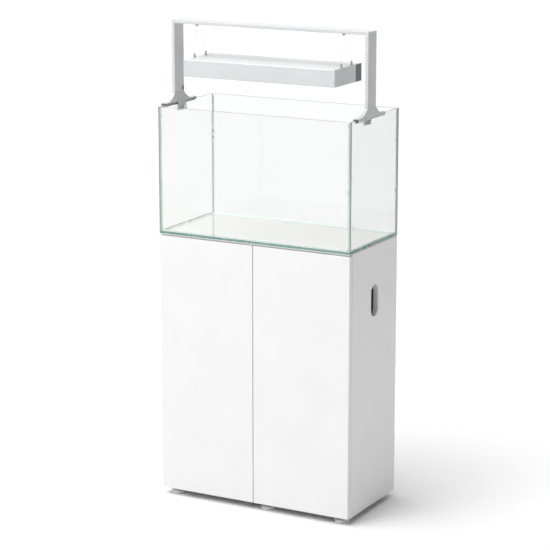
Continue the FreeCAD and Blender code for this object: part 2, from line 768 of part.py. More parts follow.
def seams():
    """Silicone in the tank's inner corners: a ring round the base and a bead up each corner."""
    seam_top = rim - seam_leg
    inner = ((left + glass, right - glass), (front + glass, back - glass))
    beads = []
    for i, (x_sign, y_sign) in enumerate(((1, 1), (-1, 1), (-1, -1), (1, -1))):
        x = inner[0][0] if x_sign > 0 else inner[0][1]
        y = inner[1][0] if y_sign > 0 else inner[1][1]
        body = doc.addObject("PartDesign::Body", f"corner_bead_{i + 1}")
        sketch = new_sketch(body, f"corner_bead_outline_{i + 1}", "XY_Plane")
        outline(sketch, [(x, y), (x + seam_leg * x_sign, y), (x, y + seam_leg * y_sign)])
        pad(body, sketch, f"corner_bead_pad_{i + 1}", seam_top - glass_floor - seam_leg)
        beads.append(place(body, zero, zero, glass_floor + seam_leg))
    outer = block("ring_block", inner[0], inner[1], (glass_floor, glass_floor + seam_leg))
    pyramid = doc.addObject("Part::Wedge", "ring_hollow")
    long_side = width - glass * 2
    short_side = depth - glass * 2
    for prop, amount in (
        ("Xmin", seam_leg), ("Xmax", long_side - seam_leg), ("X2min", zero), ("X2max", long_side),
        ("Zmin", seam_leg), ("Zmax", short_side - seam_leg), ("Z2min", zero), ("Z2max", short_side),
        ("Ymin", zero), ("Ymax", seam_leg),
    ):
        bind(pyramid, prop, amount)
    place(pyramid, inner[0][0], inner[1][1], glass_floor, Rotation(Vector(1, 0, 0), 90))
    ring = cut("base_ring", outer, [pyramid])
    piece(group("seam_set", beads + [ring]), "silicone_seams")


# ---------------------------------------------------------------- arch on the tank

def screw_depths():
    centre = -stand_offset
    return (centre - corner_screw_pitch / 2, centre + corner_screw_pitch / 2)


def arch():
    screws = []
    bores = []
    leg_axis = stand_half_width - stand_board / 2
    for x in (-leg_axis, leg_axis):
        for y in screw_depths():
            low = arch_top - corner_screw_length
            shank = rod("shank", "Z", corner_screw_radius, corner_screw_length, x, y, low)
            head = doc.addObject("Part::Cone", "head")
            bind(head, "Radius1", corner_screw_radius)
            bind(head, "Radius2", corner_screw_head)
            bind(head, "Height", corner_screw_head - corner_screw_radius)
            place(head, x, y, arch_top - corner_screw_head + corner_screw_radius)
            screw = fuse("corner_screw", [shank, head])
            screws.append(screw)
            bores.append(screw)
    bar = slab(
        "top_bar",
        (-stand_half_width, stand_half_width),
        (arch_front, arch_back),
        (arch_soffit, arch_top),
    )
    piece(cut("top_bar_bored", bar, [group("bar_bores", bores)]), "stand_top_bar")
    piece(group("corner_screw_set", screws), "corner_screws")
    for side, sign in SIDES:
        xs = (-stand_half_width, -leg_inner) if sign < 0 else (leg_inner, stand_half_width)
        leg = slab(side + "_leg", xs, (arch_front, arch_back), (rim + rim_foot_height, arch_soffit))
        own = screws[:2] if sign < 0 else screws[2:]
        piece(cut(side + "_leg_bored", leg, [group(side + "_leg_bores", own)]), side + "_stand_leg")
    anchors = []
    for x in wire_ends():
        for y in (-stand_offset - anchor_half_spread, -stand_offset + anchor_half_spread):
            low = arch_soffit - anchor_height
            anchors.append(rod("anchor", "Z", anchor_radius, anchor_height, x, y, low))
    piece(group("anchors", anchors), "wire_anchors")


def wire_ends():
    reach = lamp_length / 2 - gripper_inset
    return (-reach, reach)


def rim_foot(side, sign):
    """A foot of the arch: an angle over the side pane's top edge, a gusset and a clamp jaw."""
    pane_outer = width / 2 + liner_board + liner_gap
    pane_inner = width / 2 - glass - liner_board - liner_gap
    body = doc.addObject("PartDesign::Body", side + "_rim_foot_body")
    section = new_sketch(body, side + "_angle", "XZ_Plane")
    crown = liner_board
    corners = [
        (stand_half_width * sign, -rim_foot_flange),
        (stand_half_width * sign, crown + rim_foot_web),
        (pane_inner * sign, crown + rim_foot_web),
        (pane_inner * sign, crown),
        (pane_outer * sign, crown),
        (pane_outer * sign, -rim_foot_flange),
    ]
    outline(section, corners)
    pad(body, section, side + "_angle_pad", rim_foot_length, both_ways=True)

    near, far = leg_inner, stand_half_width
    start = -far if sign < 0 else near
    flank = new_sketch(body, side + "_gusset", "YZ_Plane", start)
    half = stand_depth / 2
    foot = half + gusset_spread
    outline(
        flank,
        [
            (half, rim_foot_height),
            (-half, rim_foot_height),
            (-foot, crown + rim_foot_web / 2),
            (foot, crown + rim_foot_web / 2),
        ],
        {1: gusset_radius, 3: gusset_radius},
    )
    pad(body, flank, side + "_gusset_pad", stand_board)
    place(body, zero, -stand_offset, rim)

    centre = -stand_offset
    low = rim - jaw_drop
    jaw_near = pane_inner - jaw_board
    spans = sorted((pane_inner * sign, jaw_near * sign), key=lambda limit: limit.value)
    jaw = block(
        side + "_jaw",
        spans,
        (centre - jaw_length / 2, centre + jaw_length / 2),
        (low, rim + crown + rim_foot_web),
    )
    clear = clamp_radius + run_gap
    start = spans[0] - overrun
    bore = rod("bore", "X", clear, jaw_board + overrun * 2, start, centre, rim - clamp_drop)
    solid = fuse(side + "_foot_solid", [body, jaw])
    piece(cut(side + "_foot_bored", solid, [bore]), side + "_rim_foot")

    tip = width / 2 - glass - liner_gap
    shank_length = jaw_board + liner_board + clamp_travel + overrun
    knob_near = tip - shank_length
    shank_start = -tip if sign < 0 else knob_near
    shank = rod(side + "_clamp_shank", "X", clamp_radius, shank_length, shank_start, centre, rim - clamp_drop)
    knob_start = -knob_near if sign < 0 else knob_near - knob_length
    knob = rod(side + "_clamp_knob", "X", knob_radius, knob_length, knob_start, centre, rim - clamp_drop)
    piece(fuse(side + "_clamp", [shank, knob]), side + "_clamp_screw")


def rim_liners():
    """Soft liners between each foot's angle and the glass."""
    liners = []
    for side, sign in SIDES:
        outer = width / 2 + liner_gap
        inner = width / 2 - glass - liner_board - liner_gap
        body = doc.addObject("PartDesign::Body", side + "_liner")
        section = new_sketch(body, side + "_liner_section", "XZ_Plane")
        low = -rim_foot_flange
        corners = [
            ((outer + liner_board) * sign, low),
            ((outer + liner_board) * sign, liner_board),
            (inner * sign, liner_board),
            (inner * sign, zero),
            (outer * sign, zero),
            (outer * sign, low),
        ]
        outline(section, corners)
        pad(body, section, side + "_liner_pad", rim_foot_length, both_ways=True)
        liners.append(place(body, zero, -stand_offset, rim))
    piece(group("liners", liners), "rim_liners")


def cord_clip():
    x = -leg_inner
    y = arch_back - clip_setback
    z = rim + clip_level
    straight = clip_height / 2 - clip_width / 2
    middle = block(
        "clip_middle",
        (x, x + clip_board),
        (y - clip_width / 2, y + clip_width / 2),
        (z - straight, z + straight),
    )
    ends = [rod("clip_end", "X", clip_width / 2, clip_board, x, y, z + straight * s) for s in (-1, 1)]
    piece(fuse("clip", [middle] + ends), "cord_clip")


# ---------------------------------------------------------------- lamp

def lamp_housing():
    body = doc.addObject("PartDesign::Body", "housing")
    section = new_sketch(body, "housing_section", "YZ_Plane")
    half = lamp_depth / 2
    wall = half - lamp_wall
    lip = half - lamp_lip - lamp_wall
    rail = half - lamp_rail - lamp_wall
    rail_top = lamp_rail_level
    rail_low = lamp_rail_level - lamp_wall
    right_half = [
        (lip, zero),
        (half, zero),
        (half, lamp_height),
    ]
    inside = [
        (wall, lamp_height - lamp_wall),
        (wall, rail_top),
        (rail, rail_top),
        (rail, rail_low),
        (wall, rail_low),
        (wall, lamp_wall),
        (lip, lamp_wall),
    ]
    corners = right_half + mirrored(right_half) + mirrored(inside) + inside
    outline(section, corners)
    inner_length = lamp_length - end_cap_board * 2
    pad(body, section, "housing_pad", inner_length, both_ways=True)
    place(body, zero, -stand_offset, lamp_low)
    through = lamp_wall + overrun * 2
    low = lamp_top - lamp_wall - overrun
    bores = []
    for x, y in gripper_places():
        bores.append(rod("bore", "Z", gripper_radius + fit_gap, through, x, y, low))
    gland_start = -stand_offset + half - lamp_wall - overrun
    bores.append(rod("bore", "Y", gland_sleeve + fit_gap, through, gland_x(), gland_start, gland_z()))
    piece(cut("housing_bored", body, bores), "lamp_housing")


def mirrored(points):
    return [(-y, z) for y, z in reversed(points)]


def gripper_places():
    spots = []
    for x in wire_ends():
        for y in (-stand_offset - gripper_half_spread, -stand_offset + gripper_half_spread):
            spots.append((x, y))
    return spots


def gland_x():
    return -lamp_length / 2 + gland_inset


def gland_z():
    return lamp_top - lamp_height / 3


def lamp_end_caps():
    caps = []
    screws = []
    half = lamp_depth / 2
    for side, sign in SIDES:
        outer = lamp_length / 2
        xs = (-outer, -outer + end_cap_board) if sign < 0 else (outer - end_cap_board, outer)
        ys = (-stand_offset - half, -stand_offset + half)
        plate = slab(side + "_cap_plate", xs, ys, (lamp_low, lamp_top), end_cap_round)
        inner = outer - end_cap_board
        bosses = []
        bores = []
        for y_sign in (-1, 1):
            y = -stand_offset + (half - lamp_wall - cap_screw_boss / 2 - fit_gap) * y_sign
            z = lamp_top - lamp_wall - cap_screw_boss / 2 - fit_gap
            start = -inner if sign < 0 else inner - cap_screw_length
            screw_start = -outer if sign < 0 else outer - cap_screw_length
            bosses.append(
                block(
                    side + "_boss",
                    (start, start + cap_screw_length),
                    (y - cap_screw_boss / 2, y + cap_screw_boss / 2),
                    (z - cap_screw_boss / 2, z + cap_screw_boss / 2),
                )
            )
            screws.append(rod("cap_screw", "X", cap_screw_radius, cap_screw_length, screw_start, y, z))
            bores.append(screws[-1])
        solid = fuse(side + "_cap_solid", [plate] + bosses)
        caps.append(cut(side + "_cap", solid, [group(side + "_cap_bores", bores)]))
    for cap, side in zip(caps, ("left", "right")):
        piece(cap, f"lamp_{side}_end_cap")
    piece(group("cap_screw_set", screws), "end_cap_screws")


def lamp_inside():
    half = lamp_depth / 2 - lamp_wall - fit_gap
    ends = lamp_length / 2 - end_cap_board - fit_gap
    ys = (-stand_offset - half, -stand_offset + half)
    board_low = lamp_low + lamp_rail_level
    board_zs = (board_low, board_low + led_board_thickness)
    piece(block("led_plate", (-ends, ends), ys, board_zs), "led_board")
    cover_zs = (lamp_low + lamp_wall, lamp_low + lamp_wall + diffuser_board)
    piece(block("cover_sheet", (-ends, ends), ys, cover_zs), "lamp_diffuser")
    chips = []
    for column in range(LED_COLUMNS):
        for row in range(LED_ROWS):
            x = led_column_pitch * (column - (LED_COLUMNS - 1) / 2)
            y = led_row_pitch * (row - (LED_ROWS - 1) / 2) - stand_offset
            chips.append(
                block(
                    "led",
                    (x - led_side / 2, x + led_side / 2),
                    (y - led_side / 2, y + led_side / 2),
                    (board_low - led_thickness, board_low),
                )
            )
    piece(group("led_set", chips), "led_chips")


def grippers_and_wires():
    grippers = []
    for x, y in gripper_places():
        stem_length = gripper_height + lamp_wall
        stem = rod("gripper_stem", "Z", gripper_radius, stem_length, x, y, lamp_top - lamp_wall)
        nut = rod("gripper_nut", "Z", gripper_nut_radius, gripper_nut_height, x, y, lamp_top)
        grippers.append(fuse("gripper", [stem, nut]))
    piece(group("gripper_set", grippers), "wire_grippers")
    wires = []
    low = lamp_top + gripper_height
    high = arch_soffit - anchor_height
    for x, y in gripper_places():
        outward = 1 if y.value > -stand_offset.value else -1
        rings = []
        for ring_y, z in ((y, low), (anchor_half_spread * outward - stand_offset, high)):
            ring = doc.addObject("Part::Circle", "wire_ring")
            bind(ring, "Radius", wire_radius)
            rings.append(place(ring, x, ring_y, z))
        wire = doc.addObject("Part::Loft", "wire")
        wire.Sections = rings
        wire.Solid = True
        wire.Ruled = True
        wires.append(wire)
    piece(group("wire_set", wires), "suspension_wires")


def cord_gland():
    y = -stand_offset + lamp_depth / 2
    barrel = rod("gland_barrel", "Y", gland_radius, gland_length, gland_x(), y, gland_z())
    sleeve = rod("gland_neck", "Y", gland_sleeve, lamp_wall, gland_x(), y - lamp_wall, gland_z())
    hollow = rod("bore", "Y", gland_bore, gland_length + lamp_wall, gland_x(), y - lamp_wall, gland_z())
    piece(cut("gland", fuse("gland_solid", [barrel, sleeve]), [hollow]), "cord_gland")


# ---------------------------------------------------------------- the whole assembly

bottom_panel()
top_panel()
for side, sign in SIDES:
    side_panel(side, sign)
back_panel()
shelf()
shelf_pins()
cam_fittings()
dowels()
foot_sockets()
levelling_feet()
for side, sign in SIDES:
    door(side, sign)
    hinge_arms(side, sign)
    latch(side, sign)
mat()
tank()
seams()
arch()
for side, sign in SIDES:
    rim_foot(side, sign)
rim_liners()
cord_clip()
lamp_housing()
lamp_end_caps()
lamp_inside()
grippers_and_wires()
cord_gland()

doc.recompute()

faults = [obj.Label for obj in doc.Objects if "Invalid" in obj.State or "Error" in obj.State]
for obj in pieces:
    if obj.Shape.isNull() or not obj.Shape.isValid() or not obj.Shape.Solids:
        faults.append(obj.Label)
if faults:
    raise RuntimeError("failed objects: " + ", ".join(faults))

os.makedirs("parts", exist_ok=True)
for obj in pieces:
    obj.Shape.exportStep(os.path.join("parts", obj.Label + ".step"))
    print(f"{obj.Label}: {len(obj.Shape.Solids)} solids, {obj.Shape.Volume / 1000:.1f} cm3")
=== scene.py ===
"""Looks of an aquarium on its cabinet, with an arch and a hanging lamp, built round its CAD frame."""

import math

import bmesh
import bpy
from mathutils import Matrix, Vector
from mathutils.geometry import tessellate_polygon


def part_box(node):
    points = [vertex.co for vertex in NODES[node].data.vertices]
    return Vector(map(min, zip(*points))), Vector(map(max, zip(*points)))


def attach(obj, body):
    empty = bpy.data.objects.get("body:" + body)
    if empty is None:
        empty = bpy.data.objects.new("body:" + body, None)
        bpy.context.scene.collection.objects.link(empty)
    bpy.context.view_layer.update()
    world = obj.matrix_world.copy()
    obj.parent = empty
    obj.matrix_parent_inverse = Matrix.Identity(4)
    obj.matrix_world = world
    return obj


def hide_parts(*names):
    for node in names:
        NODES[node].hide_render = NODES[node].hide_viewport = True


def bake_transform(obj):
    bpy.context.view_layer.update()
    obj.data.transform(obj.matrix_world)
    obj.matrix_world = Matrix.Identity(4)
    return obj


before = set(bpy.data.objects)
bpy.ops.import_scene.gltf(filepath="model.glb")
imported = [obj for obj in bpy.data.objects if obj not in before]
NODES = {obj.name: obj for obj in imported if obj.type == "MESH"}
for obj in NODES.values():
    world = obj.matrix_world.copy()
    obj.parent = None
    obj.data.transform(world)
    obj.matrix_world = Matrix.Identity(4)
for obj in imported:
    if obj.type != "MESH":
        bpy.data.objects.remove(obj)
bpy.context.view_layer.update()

MM = 0.001
AXES = {"X": (2, 0, 1), "Y": (0, 2, 1), "Z": (0, 1, 2)}


# ---------------------------------------------------------------- finishes

def material(name):
    made = bpy.data.materials.new(name)
    made.use_nodes = True
    return made, made.node_tree, made.node_tree.nodes["Principled BSDF"]


def set_sockets(shader, sockets):
    for socket, amount in sockets.items():
        shader.inputs[socket.replace("_", " ")].default_value = amount


def noise(tree, vector, scale, detail=2.0, distortion=0.0):
    made = tree.nodes.new("ShaderNodeTexNoise")
    made.inputs["Scale"].default_value = scale
    made.inputs["Detail"].default_value = detail
    made.inputs["Distortion"].default_value = distortion
    tree.links.new(vector, made.inputs["Vector"])
    return made.outputs["Fac"]


def spread(tree, factor, low, high, start=0.3, end=0.7):
    made = tree.nodes.new("ShaderNodeMapRange")
    made.inputs["From Min"].default_value = start
    made.inputs["From Max"].default_value = end
    made.inputs["To Min"].default_value = low
    made.inputs["To Max"].default_value = high
    tree.links.new(factor, made.inputs["Value"])
    return made.outputs["Result"]


def between(tree, factor, first, second):
    """A colour between two others; each is a colour or a socket."""
    made = tree.nodes.new("ShaderNodeMix")
    made.data_type = "RGBA"
    tree.links.new(factor, made.inputs["Factor"])
    for socket, colour in ((made.inputs[6], first), (made.inputs[7], second)):
        if isinstance(colour, bpy.types.NodeSocket):
            tree.links.new(colour, socket)
        else:
            socket.default_value = (*colour, 1)
    return made.outputs[2]


def surface(name, dark, light, rough, grain=(1, 1, 1), patch=7.0, fine=350.0, bump=0.2,
            depth=0.03, worn=None, edge=0.8, **sockets):
    """A solid finish: patches and fine grain in colour, roughness and bump, and a lighter tone along the
    edges that is a painted highlight.
    """
    made, tree, shader = material(name)
    link = tree.links.new
    where = tree.nodes.new("ShaderNodeTexCoord").outputs["Object"]
    stretch = tree.nodes.new("ShaderNodeMapping")
    stretch.inputs["Scale"].default_value = grain
    link(where, stretch.inputs["Vector"])
    broad = noise(tree, where, patch, 3.0)
    streak = noise(tree, stretch.outputs["Vector"], fine, 3.0)
    both = tree.nodes.new("ShaderNodeMath")
    both.operation = "ADD"
    link(broad, both.inputs[0])
    link(streak, both.inputs[1])
    colour = between(tree, spread(tree, both.outputs[0], 0.0, 1.0, 0.7, 1.3), dark, light)
    relief = tree.nodes.new("ShaderNodeBump")
    relief.inputs["Strength"].default_value = bump
    relief.inputs["Distance"].default_value = depth * MM
    link(streak, relief.inputs["Height"])
    # Painted highlight: where the bevel normal turns away from the face normal, on the rounded edges, the
    # colour goes to the lighter edge colour.
    if worn is not None:
        bevel = tree.nodes.new("ShaderNodeBevel")
        bevel.samples = 4
        bevel.inputs["Radius"].default_value = edge * MM
        flat = tree.nodes.new("ShaderNodeNewGeometry")
        turn = tree.nodes.new("ShaderNodeVectorMath")
        turn.operation = "DOT_PRODUCT"
        link(bevel.outputs["Normal"], turn.inputs[0])
        link(flat.outputs["Normal"], turn.inputs[1])
        rim = spread(tree, turn.outputs["Value"], 0.8, 0.0, 0.85, 0.995)
        colour = between(tree, rim, colour, worn)
        link(bevel.outputs["Normal"], relief.inputs["Normal"])
    link(colour, shader.inputs["Base Color"])
    link(spread(tree, streak, rough[0], rough[1]), shader.inputs["Roughness"])
    link(relief.outputs["Normal"], shader.inputs["Normal"])
    set_sockets(shader, sockets)
    return made


def clear(name, tint, deep, rough, wave=0.0, **sockets):
    """A clear or cloudy finish, with faint unevenness in tone, gloss and flatness."""
    made, tree, shader = material(name)
    link = tree.links.new
    where = tree.nodes.new("ShaderNodeTexCoord").outputs["Object"]
    broad = noise(tree, where, 5.0, 2.0, 0.5)
    link(between(tree, spread(tree, broad, 0.0, 1.0), tint, deep), shader.inputs["Base Color"])
    link(spread(tree, noise(tree, where, 22.0), rough[0], rough[1]), shader.inputs["Roughness"])
    relief = tree.nodes.new("ShaderNodeBump")
    relief.inputs["Strength"].default_value = wave
    relief.inputs["Distance"].default_value = 0.05 * MM
    link(noise(tree, where, 9.0), relief.inputs["Height"])
    link(relief.outputs["Normal"], shader.inputs["Normal"])
    set_sockets(shader, sockets)
    return made


# The lighter edge colour that most finishes below are given is a painted highlight along their rounded
# edges.
BOARD = surface(
    "melamine_board", (0.765, 0.765, 0.765), (0.80, 0.80, 0.80), (0.34, 0.46), fine=900.0,
    bump=0.25, depth=0.02, worn=(0.84, 0.84, 0.835), Specular_IOR_Level=0.35,
)
BOARD_EDGE = surface(
    "edge_band", (0.73, 0.73, 0.73), (0.78, 0.78, 0.78), (0.4, 0.52), grain=(1, 1, 0.06),
    fine=700.0, bump=0.2, worn=(0.88, 0.88, 0.88),
)
BRUSHED = dict(
    dark=(0.60, 0.605, 0.61), light=(0.70, 0.705, 0.71), rough=(0.3, 0.42), fine=60.0,
    bump=0.12, depth=0.02, worn=(0.78, 0.78, 0.785), edge=0.6, Metallic=0.2,
    Specular_IOR_Level=0.5,
)
ALUMINIUM_X = surface("brushed_aluminium_along", grain=(0.6, 40, 40), **BRUSHED)
ALUMINIUM_Z = surface("brushed_aluminium_up", grain=(40, 40, 0.6), **BRUSHED)
CAP_METAL = surface(
    "cap_aluminium", (0.68, 0.68, 0.69), (0.77, 0.77, 0.78), (0.34, 0.46), grain=(40, 0.6, 40),
    fine=60.0, bump=0.1, depth=0.02, worn=(0.8, 0.8, 0.81), edge=0.6, Metallic=0.2,
)
CAST = surface(
    "blasted_casting", (0.54, 0.545, 0.55), (0.62, 0.625, 0.63), (0.42, 0.55), fine=1400.0,
    bump=0.35, depth=0.05, worn=(0.68, 0.68, 0.685), Metallic=0.2,
)
STEEL = surface(
    "nickel_steel", (0.55, 0.55, 0.54), (0.68, 0.68, 0.66), (0.2, 0.34), fine=900.0,
    bump=0.1, worn=(0.8, 0.8, 0.78), edge=0.3, Metallic=0.9,
)
WIRE = surface(
    "bright_wire", (0.70, 0.70, 0.70), (0.78, 0.78, 0.78), (0.3, 0.4), fine=900.0, bump=0.1,
    Metallic=0.3,
)
ZINC = surface(
    "zinc_casting", (0.42, 0.42, 0.42), (0.55, 0.55, 0.54), (0.35, 0.5), fine=1200.0,
    bump=0.2, worn=(0.7, 0.7, 0.68), edge=0.3, Metallic=0.8,
)
GREY_PLASTIC = surface(
    "grey_moulding", (0.40, 0.405, 0.41), (0.46, 0.465, 0.47), (0.4, 0.55), fine=1500.0,
    bump=0.3, depth=0.04, worn=(0.55, 0.55, 0.56), edge=0.4,
)
DARK_CAP = surface(
    "dark_moulding", (0.15, 0.15, 0.155), (0.19, 0.19, 0.195), (0.35, 0.5), fine=1500.0,
    bump=0.3, depth=0.04, worn=(0.3, 0.3, 0.31), edge=0.4,
)
WHITE_PLASTIC = surface(
    "white_moulding", (0.74, 0.745, 0.75), (0.81, 0.815, 0.82), (0.38, 0.52), fine=1500.0,
    bump=0.25, depth=0.04, worn=(0.85, 0.85, 0.85), edge=0.4,
)
BEECH = surface(
    "beech_dowel", (0.50, 0.33, 0.18), (0.66, 0.47, 0.28), (0.5, 0.7), grain=(1, 8, 8),
    fine=160.0, bump=0.3, worn=(0.72, 0.55, 0.36),
)
FOAM = surface(
    "foam_mat", (0.56, 0.555, 0.53), (0.61, 0.605, 0.58), (0.85, 0.95), patch=12.0,
    fine=1100.0, bump=0.6, depth=0.12, Specular_IOR_Level=0.2,
)
RUBBER = surface(
    "soft_liner", (0.30, 0.305, 0.305), (0.36, 0.365, 0.365), (0.6, 0.75), fine=1300.0,
    bump=0.4, depth=0.05, worn=(0.42, 0.42, 0.42), edge=0.4,
)
DARK_RUBBER = surface(
    "dark_rubber_tip", (0.085, 0.085, 0.085), (0.13, 0.13, 0.13), (0.6, 0.75), fine=1300.0,
    bump=0.4, depth=0.05, worn=(0.2, 0.2, 0.2), edge=0.4,
)
SOLDER_MASK = surface(
    "solder_mask", (0.76, 0.77, 0.77), (0.84, 0.84, 0.84), (0.25, 0.35), grain=(1, 6, 1),
    fine=220.0, bump=0.5, depth=0.05,
)
LED_RESIN = surface(
    "led_resin", (0.85, 0.68, 0.20), (0.93, 0.80, 0.36), (0.2, 0.3), fine=2600.0, bump=0.3,
    Coat_Weight=0.4,
)
GLASS = clear(
    "float_glass", (0.958, 0.963, 0.960), (0.950, 0.957, 0.953), (0.0, 0.004),
    Transmission_Weight=1.0, IOR=1.5,
)
GLASS_EDGE = clear(
    "ground_glass_edge", (0.40, 0.465, 0.44), (0.33, 0.395, 0.37), (0.3, 0.4),
    Transmission_Weight=0.1, IOR=1.5,
)
BASE_EDGE = clear(
    "base_glass_edge", (0.22, 0.37, 0.345), (0.15, 0.29, 0.27), (0.2, 0.35), wave=0.1,
    Transmission_Weight=0.2, IOR=1.5,
)
SILICONE = clear(
    "clear_silicone", (0.70, 0.75, 0.735), (0.64, 0.70, 0.685), (0.25, 0.35),
    Transmission_Weight=0.45, IOR=1.41,
)
OPAL = clear(
    "opal_diffuser", (0.86, 0.865, 0.87), (0.90, 0.905, 0.91), (0.45, 0.6), wave=0.2,
    Transmission_Weight=0.35, IOR=1.45, Subsurface_Weight=0.3,
)


# ---------------------------------------------------------------- shapes

def at(axis, u, v, w):
    """The point w along the axis and u, v across it."""
    order = AXES[axis]
    return Vector(tuple((u, v, w)[i] for i in order))


def area(loop):
    return sum(a[0] * b[1] - b[0] * a[1] for a, b in zip(loop, loop[1:] + loop[:1])) / 2


def inset(loop, by):
    """The outline moved into the material, its corners mitred."""
    moved = []
    for i, point in enumerate(loop):
        before = (Vector(point) - Vector(loop[i - 1])).normalized()
        after = (Vector(loop[(i + 1) % len(loop)]) - Vector(point)).normalized()
        first = Vector((-before.y, before.x))
        second = Vector((-after.y, after.x))
        moved.append(Vector(point) + (first + second) * (by / (1 + first.dot(second))))
    return moved


def rounded(points, radius, steps=5):
    """A polygon whose corners have these radii: one number, or one for each corner."""
    out = []
    count = len(points)
    for i, point in enumerate(points):
        r = radius[i] if isinstance(radius, (list, tuple)) else radius
        here = Vector(point)
        a = (Vector(points[i - 1]) - here).normalized()
        b = (Vector(points[(i + 1) % count]) - here).normalized()
        if r <= 0:
            out.append(here)
            continue
        half = a.angle(b) / 2
        reach = r / math.tan(half)
        centre = here + (a + b).normalized() * (r / math.sin(half))
        start = here + a * reach - centre
        end = here + b * reach - centre
        turn = start.angle_signed(end)
        for k in range(steps + 1):
            angle = -turn * k / steps
            c, s = math.cos(angle), math.sin(angle)
            out.append(centre + Vector((start.x * c - start.y * s, start.x * s + start.y * c)))
    return out


def rectangle(u0, v0, u1, v1):
    return [(u0, v0), (u1, v0), (u1, v1), (u0, v1)]


def circle(u, v, r, count=32):
    return [
        (u + r * math.cos(math.tau * i / count), v + r * math.sin(math.tau * i / count))
        for i in range(count)
    ]


def plate(bm, loops, axis, low, high, rounding=0.5 * MM, steps=3, face=0, edge=0):
    """A flat piece between low and high along the axis: an outline, holes in it, and rounded rims."""
    rings = []
    for number, loop in enumerate(loops):
        points = [Vector(p) for p in loop]
        if (area(points) < 0) == (number == 0):
            points.reverse()
        stack = []
        for k in range(steps + 1):
            angle = math.pi / 2 * k / steps
            stack.append((rounding * (1 - math.sin(angle)), low + rounding * (1 - math.cos(angle))))
        for k in range(steps, -1, -1):
            angle = math.pi / 2 * k / steps
            stack.append((rounding * (1 - math.sin(angle)), high - rounding * (1 - math.cos(angle))))
        rings.append([[bm.verts.new(at(axis, *p, w)) for p in inset(points, by)] for by, w in stack])
    faces = []
    for stack in rings:
        for lower, upper in zip(stack, stack[1:]):
            for i in range(len(lower)):
                j = (i + 1) % len(lower)
                made = bm.faces.new((lower[i], lower[j], upper[j], upper[i]))
                made.material_index = edge
                faces.append(made)
    order = AXES[axis]
    for layer in (0, -1):
        flat = [v for stack in rings for v in stack[layer]]
        outlines = [
            [Vector((v.co[order.index(0)], v.co[order.index(1)], 0)) for v in stack[layer]]
            for stack in rings
        ]
        for a, b, c in tessellate_polygon(outlines):
            made = bm.faces.new((flat[a], flat[b], flat[c]))
            made.material_index = face
            faces.append(made)
    bmesh.ops.recalc_face_normals(bm, faces=faces)
    return faces


def lathe(bm, profile, centre, axis="Z", sign=1, turns=48, knurls=0, mat=0):
    """A turned piece: (radius, height) or (radius, height, knurl depth) from end to end of its axis."""
    rings = []
    for point in profile:
        r, h = point[0], point[1] * sign
        cut = point[2] if len(point) > 2 else 0.0
        ring = []
        if r <= 0:
            rings.append([bm.verts.new(Vector(centre) + at(axis, 0, 0, h))])
            continue
        for i in range(turns):
            angle = math.tau * i / turns
            real = r - cut * (0.5 - 0.5 * math.cos(knurls * angle))
            ring.append(bm.verts.new(
                Vector(centre) + at(axis, real * math.cos(angle), real * math.sin(angle), h)
            ))
        rings.append(ring)
    faces = []
    for lower, upper in zip(rings, rings[1:]):
        for i in range(turns):
            j = (i + 1) % turns
            corners = [lower[i % len(lower)], lower[j % len(lower)], upper[j % len(upper)],
                       upper[i % len(upper)]]
            corners = list(dict.fromkeys(corners))
            if len(corners) > 2:
                faces.append(bm.faces.new(corners))
    for ring, last in ((rings[0], False), (rings[-1], True)):
        if len(ring) > 1:
            faces.append(bm.faces.new(ring if last else ring[::-1]))
    for made in faces:
        made.material_index = mat
    bmesh.ops.recalc_face_normals(bm, faces=faces)


def thread(bm, radius, cut, pitch, centre, low, high, turns=24, mat=0):
    """A screw thread round a vertical axis."""
    steps = max(2, round((high - low) / pitch * 8))
    rings = []
    for k in range(steps + 1):
        z = low + (high - low) * k / steps
        ring = []
        for i in range(turns):
            angle = math.tau * i / turns
            phase = (z / pitch - i / turns) % 1.0
            r = radius - cut * abs(2 * phase - 1)
            ring.append(bm.verts.new((
                centre[0] + r * math.cos(angle), centre[1] + r * math.sin(angle), z
            )))
        rings.append(ring)
    faces = [bm.faces.new(rings[0][::-1]), bm.faces.new(rings[-1])]
    for lower, upper in zip(rings, rings[1:]):
        for i in range(turns):
            j = (i + 1) % turns
            faces.append(bm.faces.new((lower[i], lower[j], upper[j], upper[i])))
    for made in faces:
        made.material_index = mat


def loft(bm, sections, mat=0):
    """A skin over outlines with the same number of points, closed at both ends."""
    rings = [[bm.verts.new(p) for p in section] for section in sections]
    faces = []
    for lower, upper in zip(rings, rings[1:]):
        for i in range(len(lower)):
            j = (i + 1) % len(lower)
            faces.append(bm.faces.new((lower[i], lower[j], upper[j], upper[i])))
    for ring in (rings[0], rings[-1]):
        for a, b, c in tessellate_polygon([[v.co for v in ring]]):
            faces.append(bm.faces.new((ring[a], ring[b], ring[c])))
    for made in faces:
        made.material_index = mat
    bmesh.ops.recalc_face_normals(bm, faces=faces)


def show(name, bm, body, materials, replaces=(), bevel=0.0, sharp=38, shadow=True):
    """Turns the mesh into a piece of the object that moves with a body."""
    mesh = bpy.data.meshes.new(name)
    bm.to_mesh(mesh)
    bm.free()
    for polygon in mesh.polygons:
        polygon.use_smooth = True
    mesh.set_sharp_from_angle(angle=math.radians(sharp))
    for finish in materials:
        mesh.materials.append(finish)
    obj = bpy.data.objects.new(name, mesh)
    bpy.context.scene.collection.objects.link(obj)
    if bevel:
        rim = obj.modifiers.new("rims", "BEVEL")
        rim.width = bevel
        rim.segments = 2
        rim.limit_method = "ANGLE"
        rim.angle_limit = math.radians(sharp)
        rim.harden_normals = True
    else:
        even = obj.modifiers.new("flats", "WEIGHTED_NORMAL")
        even.keep_sharp = True
        even.weight = 80
    obj.visible_shadow = shadow
    if body:
        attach(obj, body)
    if replaces:
        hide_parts(*replaces)
    return obj


